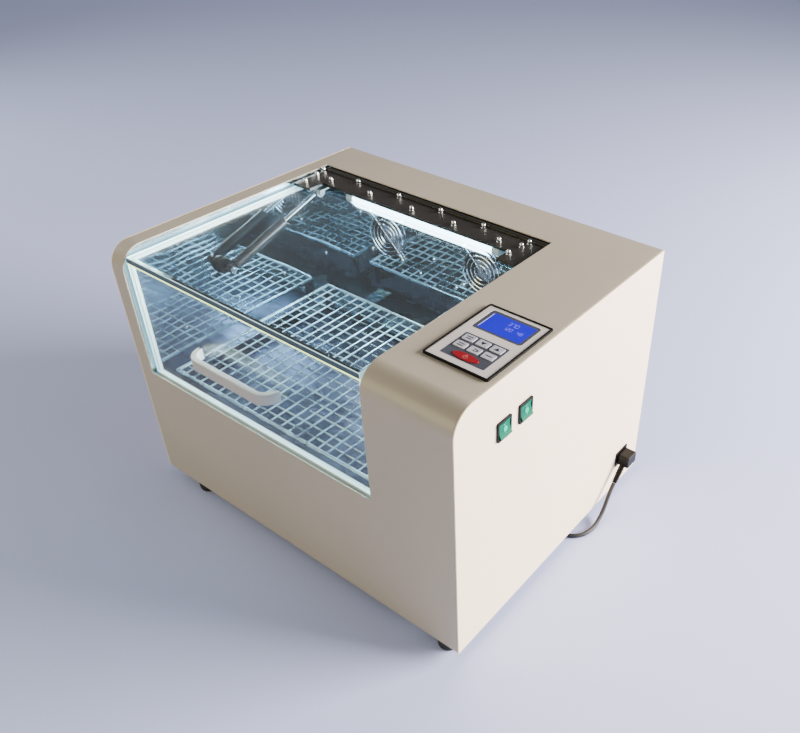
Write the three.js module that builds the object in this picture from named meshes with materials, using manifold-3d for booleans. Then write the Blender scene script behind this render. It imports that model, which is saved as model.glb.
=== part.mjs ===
// Incubated benchtop shaker: a heated chamber under a clear hinged lid, with an orbiting spring platform.
// Millimetres, +X right, +Y back, +Z up. The group stands on z = 0 with its middle over the origin.
// Inside the case, heights count from the underside of the case and places from its middle.
import * as THREE from 'three';
import { mergeVertices } from 'three/addons/utils/BufferGeometryUtils.js';
import Module from 'manifold-3d';

const wasm = await Module();
wasm.setup();

// Driving sizes
const caseWidth = 640;
const caseDepth = 490;
const caseHeight = 420;
const caseCorner = 36;
const sheet = 2;
const footHeight = 18;
const footRadius = 18;
const seam = 0.3;
const runClear = 0.5;
const overrun = 5;
const cornerSteps = 8;
const roundSides = 20;
const pinSides = 12;

// Lid opening in the wrap
const columnLeft = 28.5;
const columnRight = 144;
const stripBack = 83;
const apronLift = 80;

// Lid
const paneThick = 10;
const paneSideGap = 3.3;
const paneSetBack = 7;
const paneDrop = 10.5;
const sealThick = 4.2;
const sealWide = 5;

// Chamber
const linerSheet = 1.5;
const wallInLeft = 23;
const wallInRight = 138;
const wallInBack = 72.5;
const floorHeight = 128;
const sillDrop = 3;

// Hinge
const hingeSetBack = 6;
const hingeDrop = 5.5;
const pinRadius = 1.6;
const barrelRadius = 4;

// Platform and its drive
const orbit = 10;
const netGapLeft = 18;
const netGapRight = 27;
const netGapFront = 14.7;
const netGapBack = 52.5;
const netLift = 75;

// Planes of the case
const left = -caseWidth / 2;
const right = caseWidth / 2;
const front = -caseDepth / 2;
const back = caseDepth / 2;
const underTop = caseHeight - sheet;
const openLeft = left + columnLeft;
const openRight = right - columnRight;
const openBack = back - stripBack;
const apronHeight = floorHeight + apronLift;
const sillTop = apronHeight - sillDrop;
const paneLeft = openLeft + paneSideGap;
const paneRight = openRight - paneSideGap;
const paneFront = front + paneSetBack;
const paneTop = caseHeight - paneDrop;
const hingeY = openBack - hingeSetBack;
const hingeZ = caseHeight - hingeDrop;
// The ledge carries the seal, and the pane closes on the seal.
const ledgeTop = paneTop - paneThick - sealThick - seam * 2;
const ledgeFront = paneFront + paneThick + sealThick + seam * 2;

// Walls of the chamber, and the net that circles between them
const chamberFront = ledgeFront + linerSheet;
const wallLeft = left + wallInLeft;
const wallRight = right - wallInRight;
const wallBack = back - wallInBack;
const chamberWide = wallRight - wallLeft;
const netX = [wallLeft + netGapLeft, wallRight - netGapRight];
const netY = [chamberFront + netGapFront, wallBack - netGapBack];
const netLong = netX[1] - netX[0];
const netDeep = netY[1] - netY[0];
const netTop = floorHeight + netLift;
const platformX = (netX[0] + netX[1]) / 2;
const platformY = (netY[0] + netY[1]) / 2;

// Solids from three.js shapes

function solid(geometry) {
  const bare = geometry.index ? geometry.clone() : mergeVertices(geometry);
  bare.deleteAttribute('normal');
  bare.deleteAttribute('uv');
  const merged = mergeVertices(bare);
  return new wasm.Manifold(new wasm.Mesh({
    numProp: 3,
    vertProperties: new Float32Array(merged.attributes.position.array),
    triVerts: new Uint32Array(merged.index.array),
  }));
}

function join(first, ...others) {
  return others.reduce((sum, other) => sum.add(other), first);
}

function cut(first, ...others) {
  return others.reduce((rest, other) => rest.subtract(other), first);
}

function block([x0, x1], [y0, y1], [z0, z1]) {
  const geometry = new THREE.BoxGeometry(x1 - x0, y1 - y0, z1 - z0);
  geometry.translate((x0 + x1) / 2, (y0 + y1) / 2, (z0 + z1) / 2);
  return solid(geometry);
}

// A round bar from a point, running a length along one axis.
function rod(axis, [x, y, z], length, radius, sides = roundSides) {
  const geometry = new THREE.CylinderGeometry(radius, radius, length, sides);
  geometry.translate(0, length / 2, 0);
  if (axis === 'x') geometry.rotateZ(-Math.PI / 2);
  if (axis === 'z') geometry.rotateX(Math.PI / 2);
  geometry.translate(x, y, z);
  return solid(geometry);
}

function tube(axis, at, length, radius, bore, sides = roundSides) {
  const start = [...at];
  const place = { x: 0, y: 1, z: 2 }[axis];
  start[place] -= overrun;
  return cut(rod(axis, at, length, radius, sides), rod(axis, start, length + overrun * 2, bore, sides));
}

// Outlines drawn in one plane and drawn out across it.
const acrossX = new THREE.Matrix4().makeBasis(
  new THREE.Vector3(0, 1, 0), new THREE.Vector3(0, 0, 1), new THREE.Vector3(1, 0, 0));
const acrossY = new THREE.Matrix4().makeBasis(
  new THREE.Vector3(1, 0, 0), new THREE.Vector3(0, 0, 1), new THREE.Vector3(0, -1, 0));

function drawn(shape, depth, steps) {
  return new THREE.ExtrudeGeometry(shape, { depth, bevelEnabled: false, curveSegments: steps });
}

function drawX(shape, x0, x1, steps = cornerSteps) {
  return solid(drawn(shape, x1 - x0, steps).applyMatrix4(acrossX).translate(x0, 0, 0));
}

function drawY(shape, y0, y1, steps = cornerSteps) {
  return solid(drawn(shape, y1 - y0, steps).applyMatrix4(acrossY).translate(0, y1, 0));
}

function drawZ(shape, z0, z1, steps = cornerSteps) {
  return solid(drawn(shape, z1 - z0, steps).translate(0, 0, z0));
}

function roundedPlan([x0, x1], [y0, y1], r) {
  const shape = new THREE.Shape();
  shape.moveTo(x0 + r, y0);
  shape.absarc(x1 - r, y0 + r, r, -Math.PI / 2, 0, false);
  shape.absarc(x1 - r, y1 - r, r, 0, Math.PI / 2, false);
  shape.absarc(x0 + r, y1 - r, r, Math.PI / 2, Math.PI, false);
  shape.absarc(x0 + r, y0 + r, r, Math.PI, Math.PI * 1.5, false);
  return shape;
}

function outline(points) {
  return new THREE.Shape(points.map(([u, v]) => new THREE.Vector2(u, v)));
}

// Materials
function finish(color, roughness, metalness, opacity = 1) {
  return new THREE.MeshStandardMaterial({ color, roughness, metalness, opacity, transparent: opacity < 1 });
}
const paint = finish(0xa89f92, 0.45, 0.1);
const cream = finish(0xe6ddcf, 0.5, 0.05);
const rubber = finish(0x1c1c1c, 0.9, 0);
const steel = finish(0xc4cace, 0.12, 1);
const chrome = finish(0xd8dcde, 0.08, 1);
const castMetal = finish(0x8b8f92, 0.5, 0.9);
const acrylic = finish(0xdff2f2, 0.04, 0, 0.25);
const sealWhite = finish(0xdfe9ea, 0.6, 0);
const blackPlastic = finish(0x16171a, 0.45, 0);
const lightPlastic = finish(0xd6d5cf, 0.4, 0);
const facePlastic = finish(0xcfc8c8, 0.35, 0);
const keyPlastic = finish(0xc9cad6, 0.45, 0);
const redPlastic = finish(0xb3201c, 0.4, 0);
const greenPlastic = finish(0x14c890, 0.3, 0);
const screenBlue = finish(0x2f2bff, 0.15, 0);
const lampGlass = finish(0xf2fbff, 0.3, 0);
const boardGreen = finish(0x1f5a38, 0.6, 0);
const cordBlack = finish(0x1a1a1c, 0.6, 0);

const machine = new THREE.Group();
const inside = new THREE.Group();
machine.add(inside);

function add(name, shape, material) {
  const { numProp, vertProperties, triVerts } = shape.getMesh();
  const geometry = new THREE.BufferGeometry();
  geometry.setAttribute('position', new THREE.BufferAttribute(vertProperties, numProp));
  geometry.setIndex(new THREE.BufferAttribute(triVerts, 1));
  geometry.computeVertexNormals();
  const piece = new THREE.Mesh(geometry, material);
  piece.name = name;
  inside.add(piece);
}

// Case

// The case seen from the side, drawn in by an inset.
function caseSection(inset, low, rear) {
  const shape = new THREE.Shape();
  shape.moveTo(front + inset, low);
  shape.lineTo(rear, low);
  shape.lineTo(rear, caseHeight - inset);
  shape.absarc(front + caseCorner, caseHeight - caseCorner, caseCorner - inset, Math.PI / 2, Math.PI, false);
  return shape;
}

// Control panel on the right column
const panelIn = 58.5;
const panelSetBack = 73.5;
const panelX = right - panelIn;
const panelFrontEdge = front + panelSetBack;
const panelWide = 99;
const panelLong = 137;
const panelRim = 3;
const panelProud = 3;
const plateThick = 2;
const panelLand = 4;
const plateInset = panelRim + seam;
const holeInset = plateInset + panelLand;

function panelSpan(inset) {
  return [
    [panelX - panelWide / 2 + inset, panelX + panelWide / 2 - inset],
    [panelFrontEdge + inset, panelFrontEdge + panelLong - inset],
  ];
}

function caseWrap() {
  const x0 = left + sheet + seam;
  const x1 = right - sheet - seam;
  const bent = cut(
    drawX(caseSection(0, 0, back), x0, x1),
    drawX(caseSection(sheet, -overrun, back + overrun), x0 - overrun, x1 + overrun),
  );
  const lidOpening = block(
    [openLeft, openRight], [front - overrun, openBack], [apronHeight, caseHeight + overrun]);
  const [holeX, holeY] = panelSpan(holeInset);
  return cut(bent, lidOpening, block(holeX, holeY, [underTop - overrun, caseHeight + overrun]));
}
add('case_wrap', caseWrap(), paint);

// Rocker switches on the right side, and the mains inlet near its rear
const switchSetBack = [94, 139];
const switchDrop = 76;
const switchY = switchSetBack.map((from) => front + from);
const switchZ = caseHeight - switchDrop;
const switchWide = 28;
const switchTall = 30;
const switchWall = 2.4;
const switchLip = 1.4;
const switchProud = 2.5;
const switchDeep = 22;
const inletFromBack = 58;
const inletY = back - inletFromBack;
const inletZ = 61;
const inletWide = 34;
const inletTall = 28;
const inletProud = 2;
const inletDeep = 24;
const inletLip = switchLip * 2;

function around(centre, size) {
  return [centre - size / 2, centre + size / 2];
}

function sidePanel(x0) {
  return drawX(caseSection(0, 0, back), x0, x0 + sheet);
}

function rightPanel() {
  const through = [right - sheet - overrun, right + overrun];
  const lessLip = (size, lip) => size - lip * 2 + seam * 2;
  const holes = switchY.map((y) => block(
    through, around(y, lessLip(switchWide, switchLip)), around(switchZ, lessLip(switchTall, switchLip))));
  const inletHole = block(
    through, around(inletY, lessLip(inletWide, inletLip)), around(inletZ, lessLip(inletTall, inletLip)));
  return cut(sidePanel(right - sheet), ...holes, inletHole);
}
add('side_panel_right', rightPanel(), cream);
add('side_panel_left', sidePanel(left), cream);

const ventCount = 8;
const ventWide = 4;
const ventTall = 60;
const ventPitch = 12;
const ventIn = 112;
const ventX = right - ventIn;
const ventZ = 70;

function rearPanel() {
  const x0 = left + sheet + seam;
  const x1 = right - sheet - seam;
  const plate = block([x0, x1], [back - sheet, back], [0, underTop - seam]);
  const slots = [];
  for (let i = 0; i < ventCount; i += 1) {
    const x = ventX + i * ventPitch;
    slots.push(block(around(x, ventWide), [back - sheet - overrun, back + overrun], around(ventZ, ventTall)));
  }
  return cut(plate, ...slots);
}
add('rear_panel', rearPanel(), paint);

const inFront = front + sheet + seam;
const inBack = back - sheet - seam;
const inLeft = left + sheet + seam;
const inRight = right - sheet - seam;
add('base_plate', block([inLeft, inRight], [inFront, inBack], [0, sheet]), paint);

// Feet stand a little in from the corners.
const footInLeft = 81;
const footInRight = 32;
const footInBack = 18.5;
const footLeft = left + footInLeft;
const footRight = right - footInRight;
const footY = back - footInBack;
const footTread = 16;
const footEdge = 3;

function foot() {
  const profile = [
    [0, -footHeight], [footTread, -footHeight], [footRadius, footEdge - footHeight],
    [footRadius, -seam], [0, -seam],
  ].map(([r, z]) => new THREE.Vector2(r, z));
  return new THREE.LatheGeometry(profile, roundSides).rotateX(Math.PI / 2);
}

for (const [name, x, y] of [
  ['foot_front_left', footLeft, -footY],
  ['foot_front_right', footRight, -footY],
  ['foot_rear_left', footLeft, footY],
  ['foot_rear_right', footRight, footY],
]) {
  add(name, solid(foot().translate(x, y, 0)), rubber);
}

// Chamber: a steel tub, and a mouth over it that has a ledge for the seal and a reveal up to the wrap

const jambGap = 1;
const jambLeft = openLeft - jambGap;
const jambRight = openRight + jambGap;
const jambBack = openBack + jambGap;
const ledgeInLeft = paneLeft + sealWide;
const ledgeInRight = paneRight - sealWide;
const ledgeSetBack = 16;
const ledgeInBack = openBack - ledgeSetBack;
const ledgeUnder = ledgeTop - linerSheet;
const sillUnder = sillTop - linerSheet;
const linerX = [wallLeft - linerSheet, wallRight + linerSheet];
const linerBack = wallBack + linerSheet;

// Fans in the back wall
const fanShare = [0.269311, 0.703549];
const fanDrop = 96.5;
const fanX = fanShare.map((share) => wallLeft + chamberWide * share);
const fanZ = paneTop - fanDrop;
const fanSize = 80;
const fanDeep = 25;
const fanBore = 37.5;
const fanPitch = 71.5;
const fanHub = 15;

// Shafts through the floor
const crankX = platformX;
const crankY = platformY + orbit;
const idlerSpread = netLong * 0.345622;
const idlerBack = netDeep * 0.30581;
const idlerFront = netDeep * 0.366972;
const shaftRadius = 10;
const idlerShaft = 8;
const shaftPlay = 1.5;
const idlers = [
  [crankX - idlerSpread, crankY + idlerBack],
  [crankX + idlerSpread, crankY + idlerBack],
  [crankX, crankY - idlerFront],
];

// Temperature probe
const probeIn = 64;
const probeDrop = 29.5;
const probeX = wallRight - probeIn;
const probeZ = paneTop - probeDrop;
const probeRadius = 2;
const grommetRadius = 6;

function chamberTub() {
  const mouthX = [ledgeInLeft, ledgeInRight];
  return cut(
    block(linerX, [ledgeFront, linerBack], [floorHeight - linerSheet, ledgeTop]),
    block([wallLeft, wallRight], [chamberFront, wallBack], [floorHeight, ledgeUnder]),
    block(mouthX, [chamberFront, ledgeInBack], [ledgeUnder - overrun, ledgeTop + overrun]),
    block(mouthX, [ledgeFront - overrun, chamberFront + overrun], [sillTop, ledgeTop + overrun]),
  );
}

// The space of the mouth: all above the ledge's underside, and the front wall above the sill's.
function mouthSpace(grow) {
  const above = ledgeTop + overrun;
  return join(
    block(linerX, [ledgeFront - overrun, linerBack + overrun], [ledgeUnder - grow, above]),
    block(linerX, [ledgeFront - overrun, chamberFront + grow], [sillUnder - grow, above]),
  );
}

function chamberLiner() {
  const walls = cut(chamberTub(), mouthSpace(seam));
  const throughWall = overrun * 3;
  const fanHoles = fanX.map((x) => rod('y', [x, wallBack - overrun, fanZ], throughWall, fanBore));
  const floorUnder = floorHeight - overrun;
  const shaftHole = rod('z', [crankX, crankY, floorUnder], overrun * 2, shaftRadius + shaftPlay);
  const idlerHoles = idlers.map(([x, y]) => rod(
    'z', [x, y, floorUnder], overrun * 2, idlerShaft + shaftPlay));
  const probeHole = rod('y', [probeX, wallBack - overrun, probeZ], throughWall, probeRadius + seam, pinSides);
  return cut(walls, ...fanHoles, shaftHole, ...idlerHoles, probeHole);
}
add('chamber_liner', chamberLiner(), steel);

function chamberMouth() {
  const low = sillUnder - overrun;
  const outX = [jambLeft - linerSheet, jambRight + linerSheet];
  const reveal = cut(
    drawX(caseSection(sheet + seam, sillUnder, jambBack + linerSheet), ...outX),
    block([jambLeft, jambRight], [front - overrun, jambBack], [sillTop, caseHeight + overrun]),
    block(linerX, [chamberFront, linerBack], [low, ledgeUnder]),
  );
  return join(chamberTub().intersect(mouthSpace(0)), reveal);
}
add('chamber_mouth', chamberMouth(), steel);

function lidSeal() {
  const top = ledgeTop + seam + sealThick;
  const face = ledgeFront - seam - sealThick;
  const spanX = [paneLeft, paneRight];
  const sealBack = ledgeInBack + sealWide;
  const frame = join(
    block(spanX, [face, sealBack], [ledgeTop + seam, top]),
    block(spanX, [face, ledgeFront - seam], [sillTop + seam, top]),
    block(spanX, [paneFront, ledgeFront - seam], [sillTop + seam, sillTop + seam + sealThick]),
  );
  const mouthZ = [sillTop + seam + sealThick, caseHeight + overrun];
  return cut(frame, block([ledgeInLeft, ledgeInRight], [front - overrun, ledgeInBack], mouthZ));
}
add('lid_seal', lidSeal(), sealWhite);

// Lid: a top pane glued over a front pane

const paneBottom = sillTop + seam * 2 + sealThick;
const paneFromBack = 12;
const paneBack = openBack - paneFromBack;

function lidPane() {
  return join(
    block([paneLeft, paneRight], [paneFront, paneBack], [paneTop - paneThick, paneTop]),
    block([paneLeft, paneRight], [paneFront, paneFront + paneThick], [paneBottom, paneTop - paneThick]),
  );
}
add('lid_pane', lidPane(), acrylic);

// Hinge: the strip on the pane turns on a pin that is staked in the leaf on the back reveal

const stripTop = hingeZ;
const stripDeep = 45;
const stripFront = hingeY - stripDeep;
const stripTab = 38;
const stripTabReach = 30;
const stripBackEdge = hingeY - barrelRadius - runClear;
const knuckles = 9;
const knuckleGap = 0.6;
const webUnder = 3;
const leafThick = 2.2;
const leafDeep = 18.5;
const leafLow = hingeZ - leafDeep;
const leafFace = jambBack - seam - leafThick;

function knuckleSpan(i) {
  const step = (paneRight - paneLeft) / knuckles;
  return [paneLeft + step * i + knuckleGap / 2, paneLeft + step * (i + 1) - knuckleGap / 2];
}

function barrels(first, webFrom, webTo) {
  const parts = [];
  for (let i = first; i < knuckles; i += 2) {
    const [x0, x1] = knuckleSpan(i);
    parts.push(rod('x', [x0, hingeY, hingeZ], x1 - x0, barrelRadius, pinSides));
    parts.push(block([x0, x1], [webFrom, webTo], [hingeZ - webUnder, hingeZ]));
  }
  return join(...parts);
}

const pinLength = paneRight - paneLeft;

function hingeStrip() {
  const low = paneTop + seam;
  const tabY = [stripFront - stripTabReach, stripFront + overrun];
  const plates = join(
    block([paneLeft, paneRight], [stripFront, stripBackEdge], [low, stripTop]),
    block([paneLeft, paneLeft + stripTab], tabY, [low, stripTop]),
    block([paneRight - stripTab, paneRight], tabY, [low, stripTop]),
  );
  const pinHole = rod(
    'x', [paneLeft - overrun, hingeY, hingeZ], pinLength + overrun * 2, pinRadius + runClear, pinSides);
  return cut(join(plates, barrels(0, stripBackEdge - overrun, hingeY)), pinHole);
}
add('hinge_strip', hingeStrip(), blackPlastic);

function hingeLeaf() {
  const leaf = block([paneLeft, paneRight], [leafFace, leafFace + leafThick], [leafLow, hingeZ]);
  const pin = rod('x', [paneLeft, hingeY, hingeZ], pinLength, pinRadius, pinSides);
  return join(leaf, barrels(1, hingeY, leafFace + leafThick), pin);
}
add('hinge_fixed_leaf', hingeLeaf(), blackPlastic);

// Bow handle on the front pane

const handleWide = 170;
const handleAside = 96.75;
const handleLeft = (paneLeft + paneRight) / 2 - handleAside;
const handleRight = handleLeft + handleWide;
const handleReach = 27;
const handleDrop = 98.5;
const handleTop = paneTop - handleDrop;
const handleTall = 17.5;
const handleThick = 9;
const handleCorner = 26.5;

function bowPlan(inset) {
  const shape = new THREE.Shape();
  const rear = paneFront - seam + (inset ? overrun : 0);
  const y = paneFront - handleReach + inset;
  const r = handleCorner - inset;
  shape.moveTo(handleLeft + inset, rear);
  shape.absarc(handleLeft + inset + r, y + r, r, Math.PI, Math.PI * 1.5, false);
  shape.absarc(handleRight - inset - r, y + r, r, Math.PI * 1.5, Math.PI * 2, false);
  shape.lineTo(handleRight - inset, rear);
  return shape;
}

function bowHandle() {
  const z0 = handleTop - handleTall;
  return cut(
    drawZ(bowPlan(0), z0, handleTop),
    drawZ(bowPlan(handleThick), z0 - overrun, handleTop + overrun),
  );
}
add('lid_handle', bowHandle(), lightPlastic);

// Gas strut at the left wall

const strutIn = 24;
const strutRun = 198;
const strutRise = 64;
const strutHeadSetBack = 32;
const strutHeadDrop = 24.5;
const strutX = wallLeft + strutIn;
const strutHeadY = paneBack - strutHeadSetBack;
const strutHeadZ = paneTop - strutHeadDrop;
const strutFootY = strutHeadY - strutRun;
const strutFootZ = strutHeadZ - strutRise;
const strutRadius = 9;
const strutRodRadius = 4;
const strutEye = 7;
const strutEyeWide = 9;
const strutPin = 3.5;
const strutHeadEye = 5;
const strutTubeEnd = 123;
const strutTubeStart = 10;
const strutRodStart = 40;
const strutBoreEnd = 6;
const bracketDisc = 14;
const bracketDeep = 9;
const boltHead = 6;
const boltHeadThick = 3;
const strutLean = Math.atan2(strutRise, strutRun);
const strutLength = Math.hypot(strutRise, strutRun);

// A round bar along the strut, from one distance to another off its foot.
function alongStrut(from, to, radius, sides = roundSides) {
  const geometry = new THREE.CylinderGeometry(radius, radius, to - from, sides);
  geometry.translate(0, (from + to) / 2, 0).rotateX(strutLean);
  return solid(geometry.translate(strutX, strutFootY, strutFootZ));
}

function wallBracket() {
  const x0 = wallLeft + seam;
  const pinEnd = strutX + strutEyeWide / 2 + runClear;
  return join(
    rod('x', [x0, strutFootY, strutFootZ], bracketDeep, bracketDisc),
    rod('x', [x0, strutFootY, strutFootZ], pinEnd - x0 + boltHeadThick / 2, strutPin, pinSides),
    rod('x', [pinEnd, strutFootY, strutFootZ], boltHeadThick, boltHead, pinSides),
  );
}
add('strut_wall_bracket', wallBracket(), blackPlastic);

function strutCylinder() {
  const eyeStart = [strutX - strutEyeWide / 2, strutFootY, strutFootZ];
  const body = join(
    rod('x', eyeStart, strutEyeWide, strutEye),
    alongStrut(0, strutTubeStart + overrun, strutRodRadius),
    alongStrut(strutTubeStart, strutTubeEnd, strutRadius),
  );
  const holeStart = [eyeStart[0] - overrun, strutFootY, strutFootZ];
  const eyeHole = rod('x', holeStart, strutEyeWide + overrun * 2, strutPin + runClear, pinSides);
  const bore = alongStrut(strutTubeStart + strutBoreEnd, strutTubeEnd + overrun, strutRodRadius + runClear);
  return cut(body, eyeHole, bore);
}
add('strut_cylinder', strutCylinder(), blackPlastic);

function strutRod() {
  return join(
    alongStrut(strutRodStart, strutLength, strutRodRadius),
    rod('x', [strutX - strutEyeWide / 2, strutHeadY, strutHeadZ], strutEyeWide, strutHeadEye),
  );
}
add('strut_rod', strutRod(), chrome);

const tabThick = 3;
const tabRadius = 9;
const flangeWide = 22;
const flangeLong = 38;

function lidBracket() {
  const x0 = strutX + strutEyeWide / 2 + runClear;
  const under = paneTop - paneThick - seam;
  return join(
    block([x0, x0 + flangeWide], around(strutHeadY, flangeLong), [under - tabThick, under]),
    block([x0, x0 + tabThick], around(strutHeadY, tabRadius * 2), [strutHeadZ, under]),
    rod('x', [x0, strutHeadY, strutHeadZ], tabThick, tabRadius),
    rod('x', [x0 + tabThick / 2, strutHeadY, strutHeadZ], tabThick + boltHeadThick / 2, boltHead, pinSides),
  );
}
add('strut_lid_bracket', lidBracket(), castMetal);

// Lamp on the back wall, under the hinge

const lampFromWall = 15.5;
const lampDrop = 37.5;
const lampInLeft = 73;
const lampInRight = 107;
const lampY = wallBack - lampFromWall;
const lampZ = paneTop - lampDrop;
const lampRadius = 8;
const lampLeft = wallLeft + lampInLeft;
const lampRight = wallRight - lampInRight;
const lampEnd = 14;
const socketRadius = 10;
const battenThick = 5;

add('lamp_tube', rod('x', [lampLeft, lampY, lampZ], lampRight - lampLeft, lampRadius), lampGlass);

function lampHolder() {
  const rear = wallBack - seam;
  const ends = [lampLeft - seam - lampEnd, lampRight + seam];
  const sockets = ends.flatMap((x) => [
    rod('x', [x, lampY, lampZ], lampEnd, socketRadius - seam),
    block([x, x + lampEnd], [lampY, rear], around(lampZ, lampRadius * 2)),
  ]);
  const [battenX, battenY] = [[ends[0], ends[1] + lampEnd], [rear - battenThick, rear]];
  const batten = block(battenX, battenY, around(lampZ, lampRadius * 2));
  return join(batten, ...sockets);
}
add('lamp_holder', lampHolder(), lightPlastic);

// Fans: a ring guard in the chamber, and a frame and impeller behind the wall

const guardFromWall = 4.5;
const guardY = wallBack - guardFromWall;
const guardWire = 1.1;
const guardSides = 3;
const guardSteps = 16;
const guardOuter = 37;
const guardRings = 4;
const guardStep = 8;
const lugRadius = 4;
const lugProud = 2;

function guardRing(x, radius) {
  const ring = new THREE.TorusGeometry(radius, guardWire, guardSides, guardSteps);
  return solid(ring.rotateX(Math.PI / 2).translate(x, guardY, fanZ));
}

// A straight wire in the guard's plane, along a slope, between two distances from its middle.
function guardSpoke(x, slope, from, to) {
  const wire = new THREE.CylinderGeometry(guardWire, guardWire, to - from, guardSides);
  wire.translate(0, (from + to) / 2, 0).rotateX(Math.PI / 2).rotateY(slope);
  return solid(wire.translate(x, guardY, fanZ));
}

function fanGuard(x) {
  const half = fanPitch / 2;
  const corner = Math.hypot(half, half);
  const parts = [
    guardSpoke(x, Math.PI / 4, -corner, corner),
    guardSpoke(x, -Math.PI / 4, guardOuter, corner),
    guardSpoke(x, -Math.PI / 4, -corner, -guardOuter),
  ];
  for (let i = 0; i < guardRings; i += 1) parts.push(guardRing(x, guardOuter - guardStep * i));
  for (const sx of [-1, 1]) {
    for (const sz of [-1, 1]) {
      const start = guardY - lugProud;
      const lugAt = [x + half * sx, start, fanZ + half * sz];
      parts.push(rod('y', lugAt, wallBack - seam - start, lugRadius, pinSides));
    }
  }
  return join(...parts);
}

const fanFront = wallBack + linerSheet + seam;
const fanSpider = 4;
const fanArms = 3;
const axleRadius = 2.5;
const bladeCount = 5;
const bladeThick = 1.6;
const bladeLean = 0.7;
const bladeClear = 1.5;
const impellerIn = 2;
const impellerFront = fanFront + impellerIn;
const impellerDeep = 17;

function armAround(x, count, from, to, deep, thick, lean, y) {
  const arms = [];
  for (let i = 0; i < count; i += 1) {
    const arm = new THREE.BoxGeometry(thick, deep, to - from);
    arm.rotateZ(lean).translate(0, y, (from + to) / 2);
    arms.push(solid(arm.rotateY(i * Math.PI * 2 / count).translate(x, 0, fanZ)));
  }
  return join(...arms);
}

function fanFrame(x) {
  const rear = fanFront + fanDeep;
  const body = cut(
    block(around(x, fanSize), [fanFront, rear], around(fanZ, fanSize)),
    rod('y', [x, fanFront - overrun, fanZ], fanDeep + overrun * 2, fanBore),
  );
  return join(
    body,
    rod('y', [x, rear - fanSpider, fanZ], fanSpider, fanHub),
    armAround(x, fanArms, fanHub / 2, fanBore + lugProud, fanSpider, fanSpider, 0, rear - fanSpider / 2),
    rod('y', [x, impellerFront, fanZ], fanDeep - fanSpider, axleRadius, pinSides),
  );
}

function fanImpeller(x) {
  const tip = fanBore - bladeClear;
  const blades = armAround(
    x, bladeCount, fanHub / 2, tip, impellerDeep, bladeThick, bladeLean, impellerFront + impellerDeep / 2);
  const trimmed = blades.intersect(rod('y', [x, impellerFront, fanZ], impellerDeep, tip));
  const hub = rod('y', [x, impellerFront, fanZ], impellerDeep, fanHub);
  const holeLong = impellerDeep + overrun * 2;
  const hole = rod('y', [x, impellerFront - overrun, fanZ], holeLong, axleRadius + runClear, pinSides);
  return cut(join(hub, trimmed), hole);
}

fanX.forEach((x, i) => {
  const side = ['left', 'right'][i];
  add(`fan_guard_${side}`, fanGuard(x), chrome);
  add(`fan_frame_${side}`, fanFrame(x), blackPlastic);
  add(`fan_impeller_${side}`, fanImpeller(x), keyPlastic);
});

// Heater between the fans, on the back of the chamber wall

const heaterRadius = 5;
const heaterFoot = 12;
const heaterStand = 14;
const heaterInset = 12;
const heaterLeft = fanX[0] + fanSize / 2 + heaterInset;
const heaterRight = fanX[1] - fanSize / 2 - heaterInset;

function heaterElement() {
  const y0 = wallBack + linerSheet + seam;
  const footY1 = y0 + heaterStand + heaterRadius;
  const feet = [heaterLeft, heaterRight - heaterFoot].map((x) => block(
    [x, x + heaterFoot], [y0, footY1], around(fanZ, heaterFoot)));
  const bar = rod('x', [heaterLeft, y0 + heaterStand, fanZ], heaterRight - heaterLeft, heaterRadius);
  return join(bar, ...feet);
}
add('heater_element', heaterElement(), castMetal);

const probeReach = 14;
const grommetThick = 5;

function temperatureProbe() {
  const wallRear = wallBack + linerSheet + seam;
  return join(
    rod('y', [probeX, wallBack - probeReach, probeZ], probeReach + grommetThick, probeRadius, pinSides),
    rod('y', [probeX, wallRear, probeZ], grommetThick, grommetRadius, pinSides),
  );
}
add('temperature_probe', temperatureProbe(), chrome);

// Drive: a base with bearing tubes, a belt-driven main crank and three idler cranks

const driveFloor = sheet + seam;
const drivePlate = 6;
const driveTop = driveFloor + drivePlate;
const tubeWall = 8;
const bearingTop = 80;
const idlerTubeTop = 122;
const shaftLift = 4;
const pulleyLow = 84;
const pulleyThick = 12;
const pulleyRadius = 70;
const motorPulleyRadius = 20;
const motorIn = 80;
const motorAhead = 26.5;
const motorX = right - motorIn;
const motorY = crankY - motorAhead;
const motorRadius = 32;
const motorTop = 80;
const motorShaft = 5;
const motorTip = 2;
const weightRadius = 62;
const weightThick = 12;
const discLift = 6;
const discLow = floorHeight + discLift;
const discThick = 6;
const crankDisc = 22;
const idlerDisc = 18;
const crankPin = 6;
const idlerPin = 5;
const pinLong = 9;
const plateInLeft = 80;
const plateInRight = 35;
const plateMargin = 24.5;
const plateSpanX = [left + plateInLeft, right - plateInRight];
const plateSpanY = [crankY - idlerFront - plateMargin, crankY + idlerBack + plateMargin];

function driveBase() {
  const lift = driveTop - overrun;
  const boreLow = driveTop - runClear;
  const tubes = idlers.map(([x, y]) => rod('z', [x, y, lift], idlerTubeTop - lift, idlerShaft + tubeWall));
  const bores = idlers.map(([x, y]) => rod('z', [x, y, boreLow], idlerTubeTop, idlerShaft + runClear));
  return cut(
    join(
      block(plateSpanX, plateSpanY, [driveFloor, driveTop]),
      rod('z', [crankX, crankY, lift], bearingTop - lift, shaftRadius + tubeWall),
      ...tubes,
    ),
    rod('z', [crankX, crankY, boreLow], idlerTubeTop, shaftRadius + runClear),
    ...bores,
  );
}
add('drive_base', driveBase(), castMetal);

// A crank: shaft, disc above the floor, and a pin off its axis towards the front.
function crank(x, y, radius, disc, pin) {
  return join(
    rod('z', [x, y, driveTop + shaftLift], discLow + discThick / 2 - driveTop - shaftLift, radius),
    rod('z', [x, y, discLow], discThick, disc),
    rod('z', [x, y - orbit, discLow + discThick / 2], discThick / 2 + pinLong, pin, pinSides),
  );
}

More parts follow.
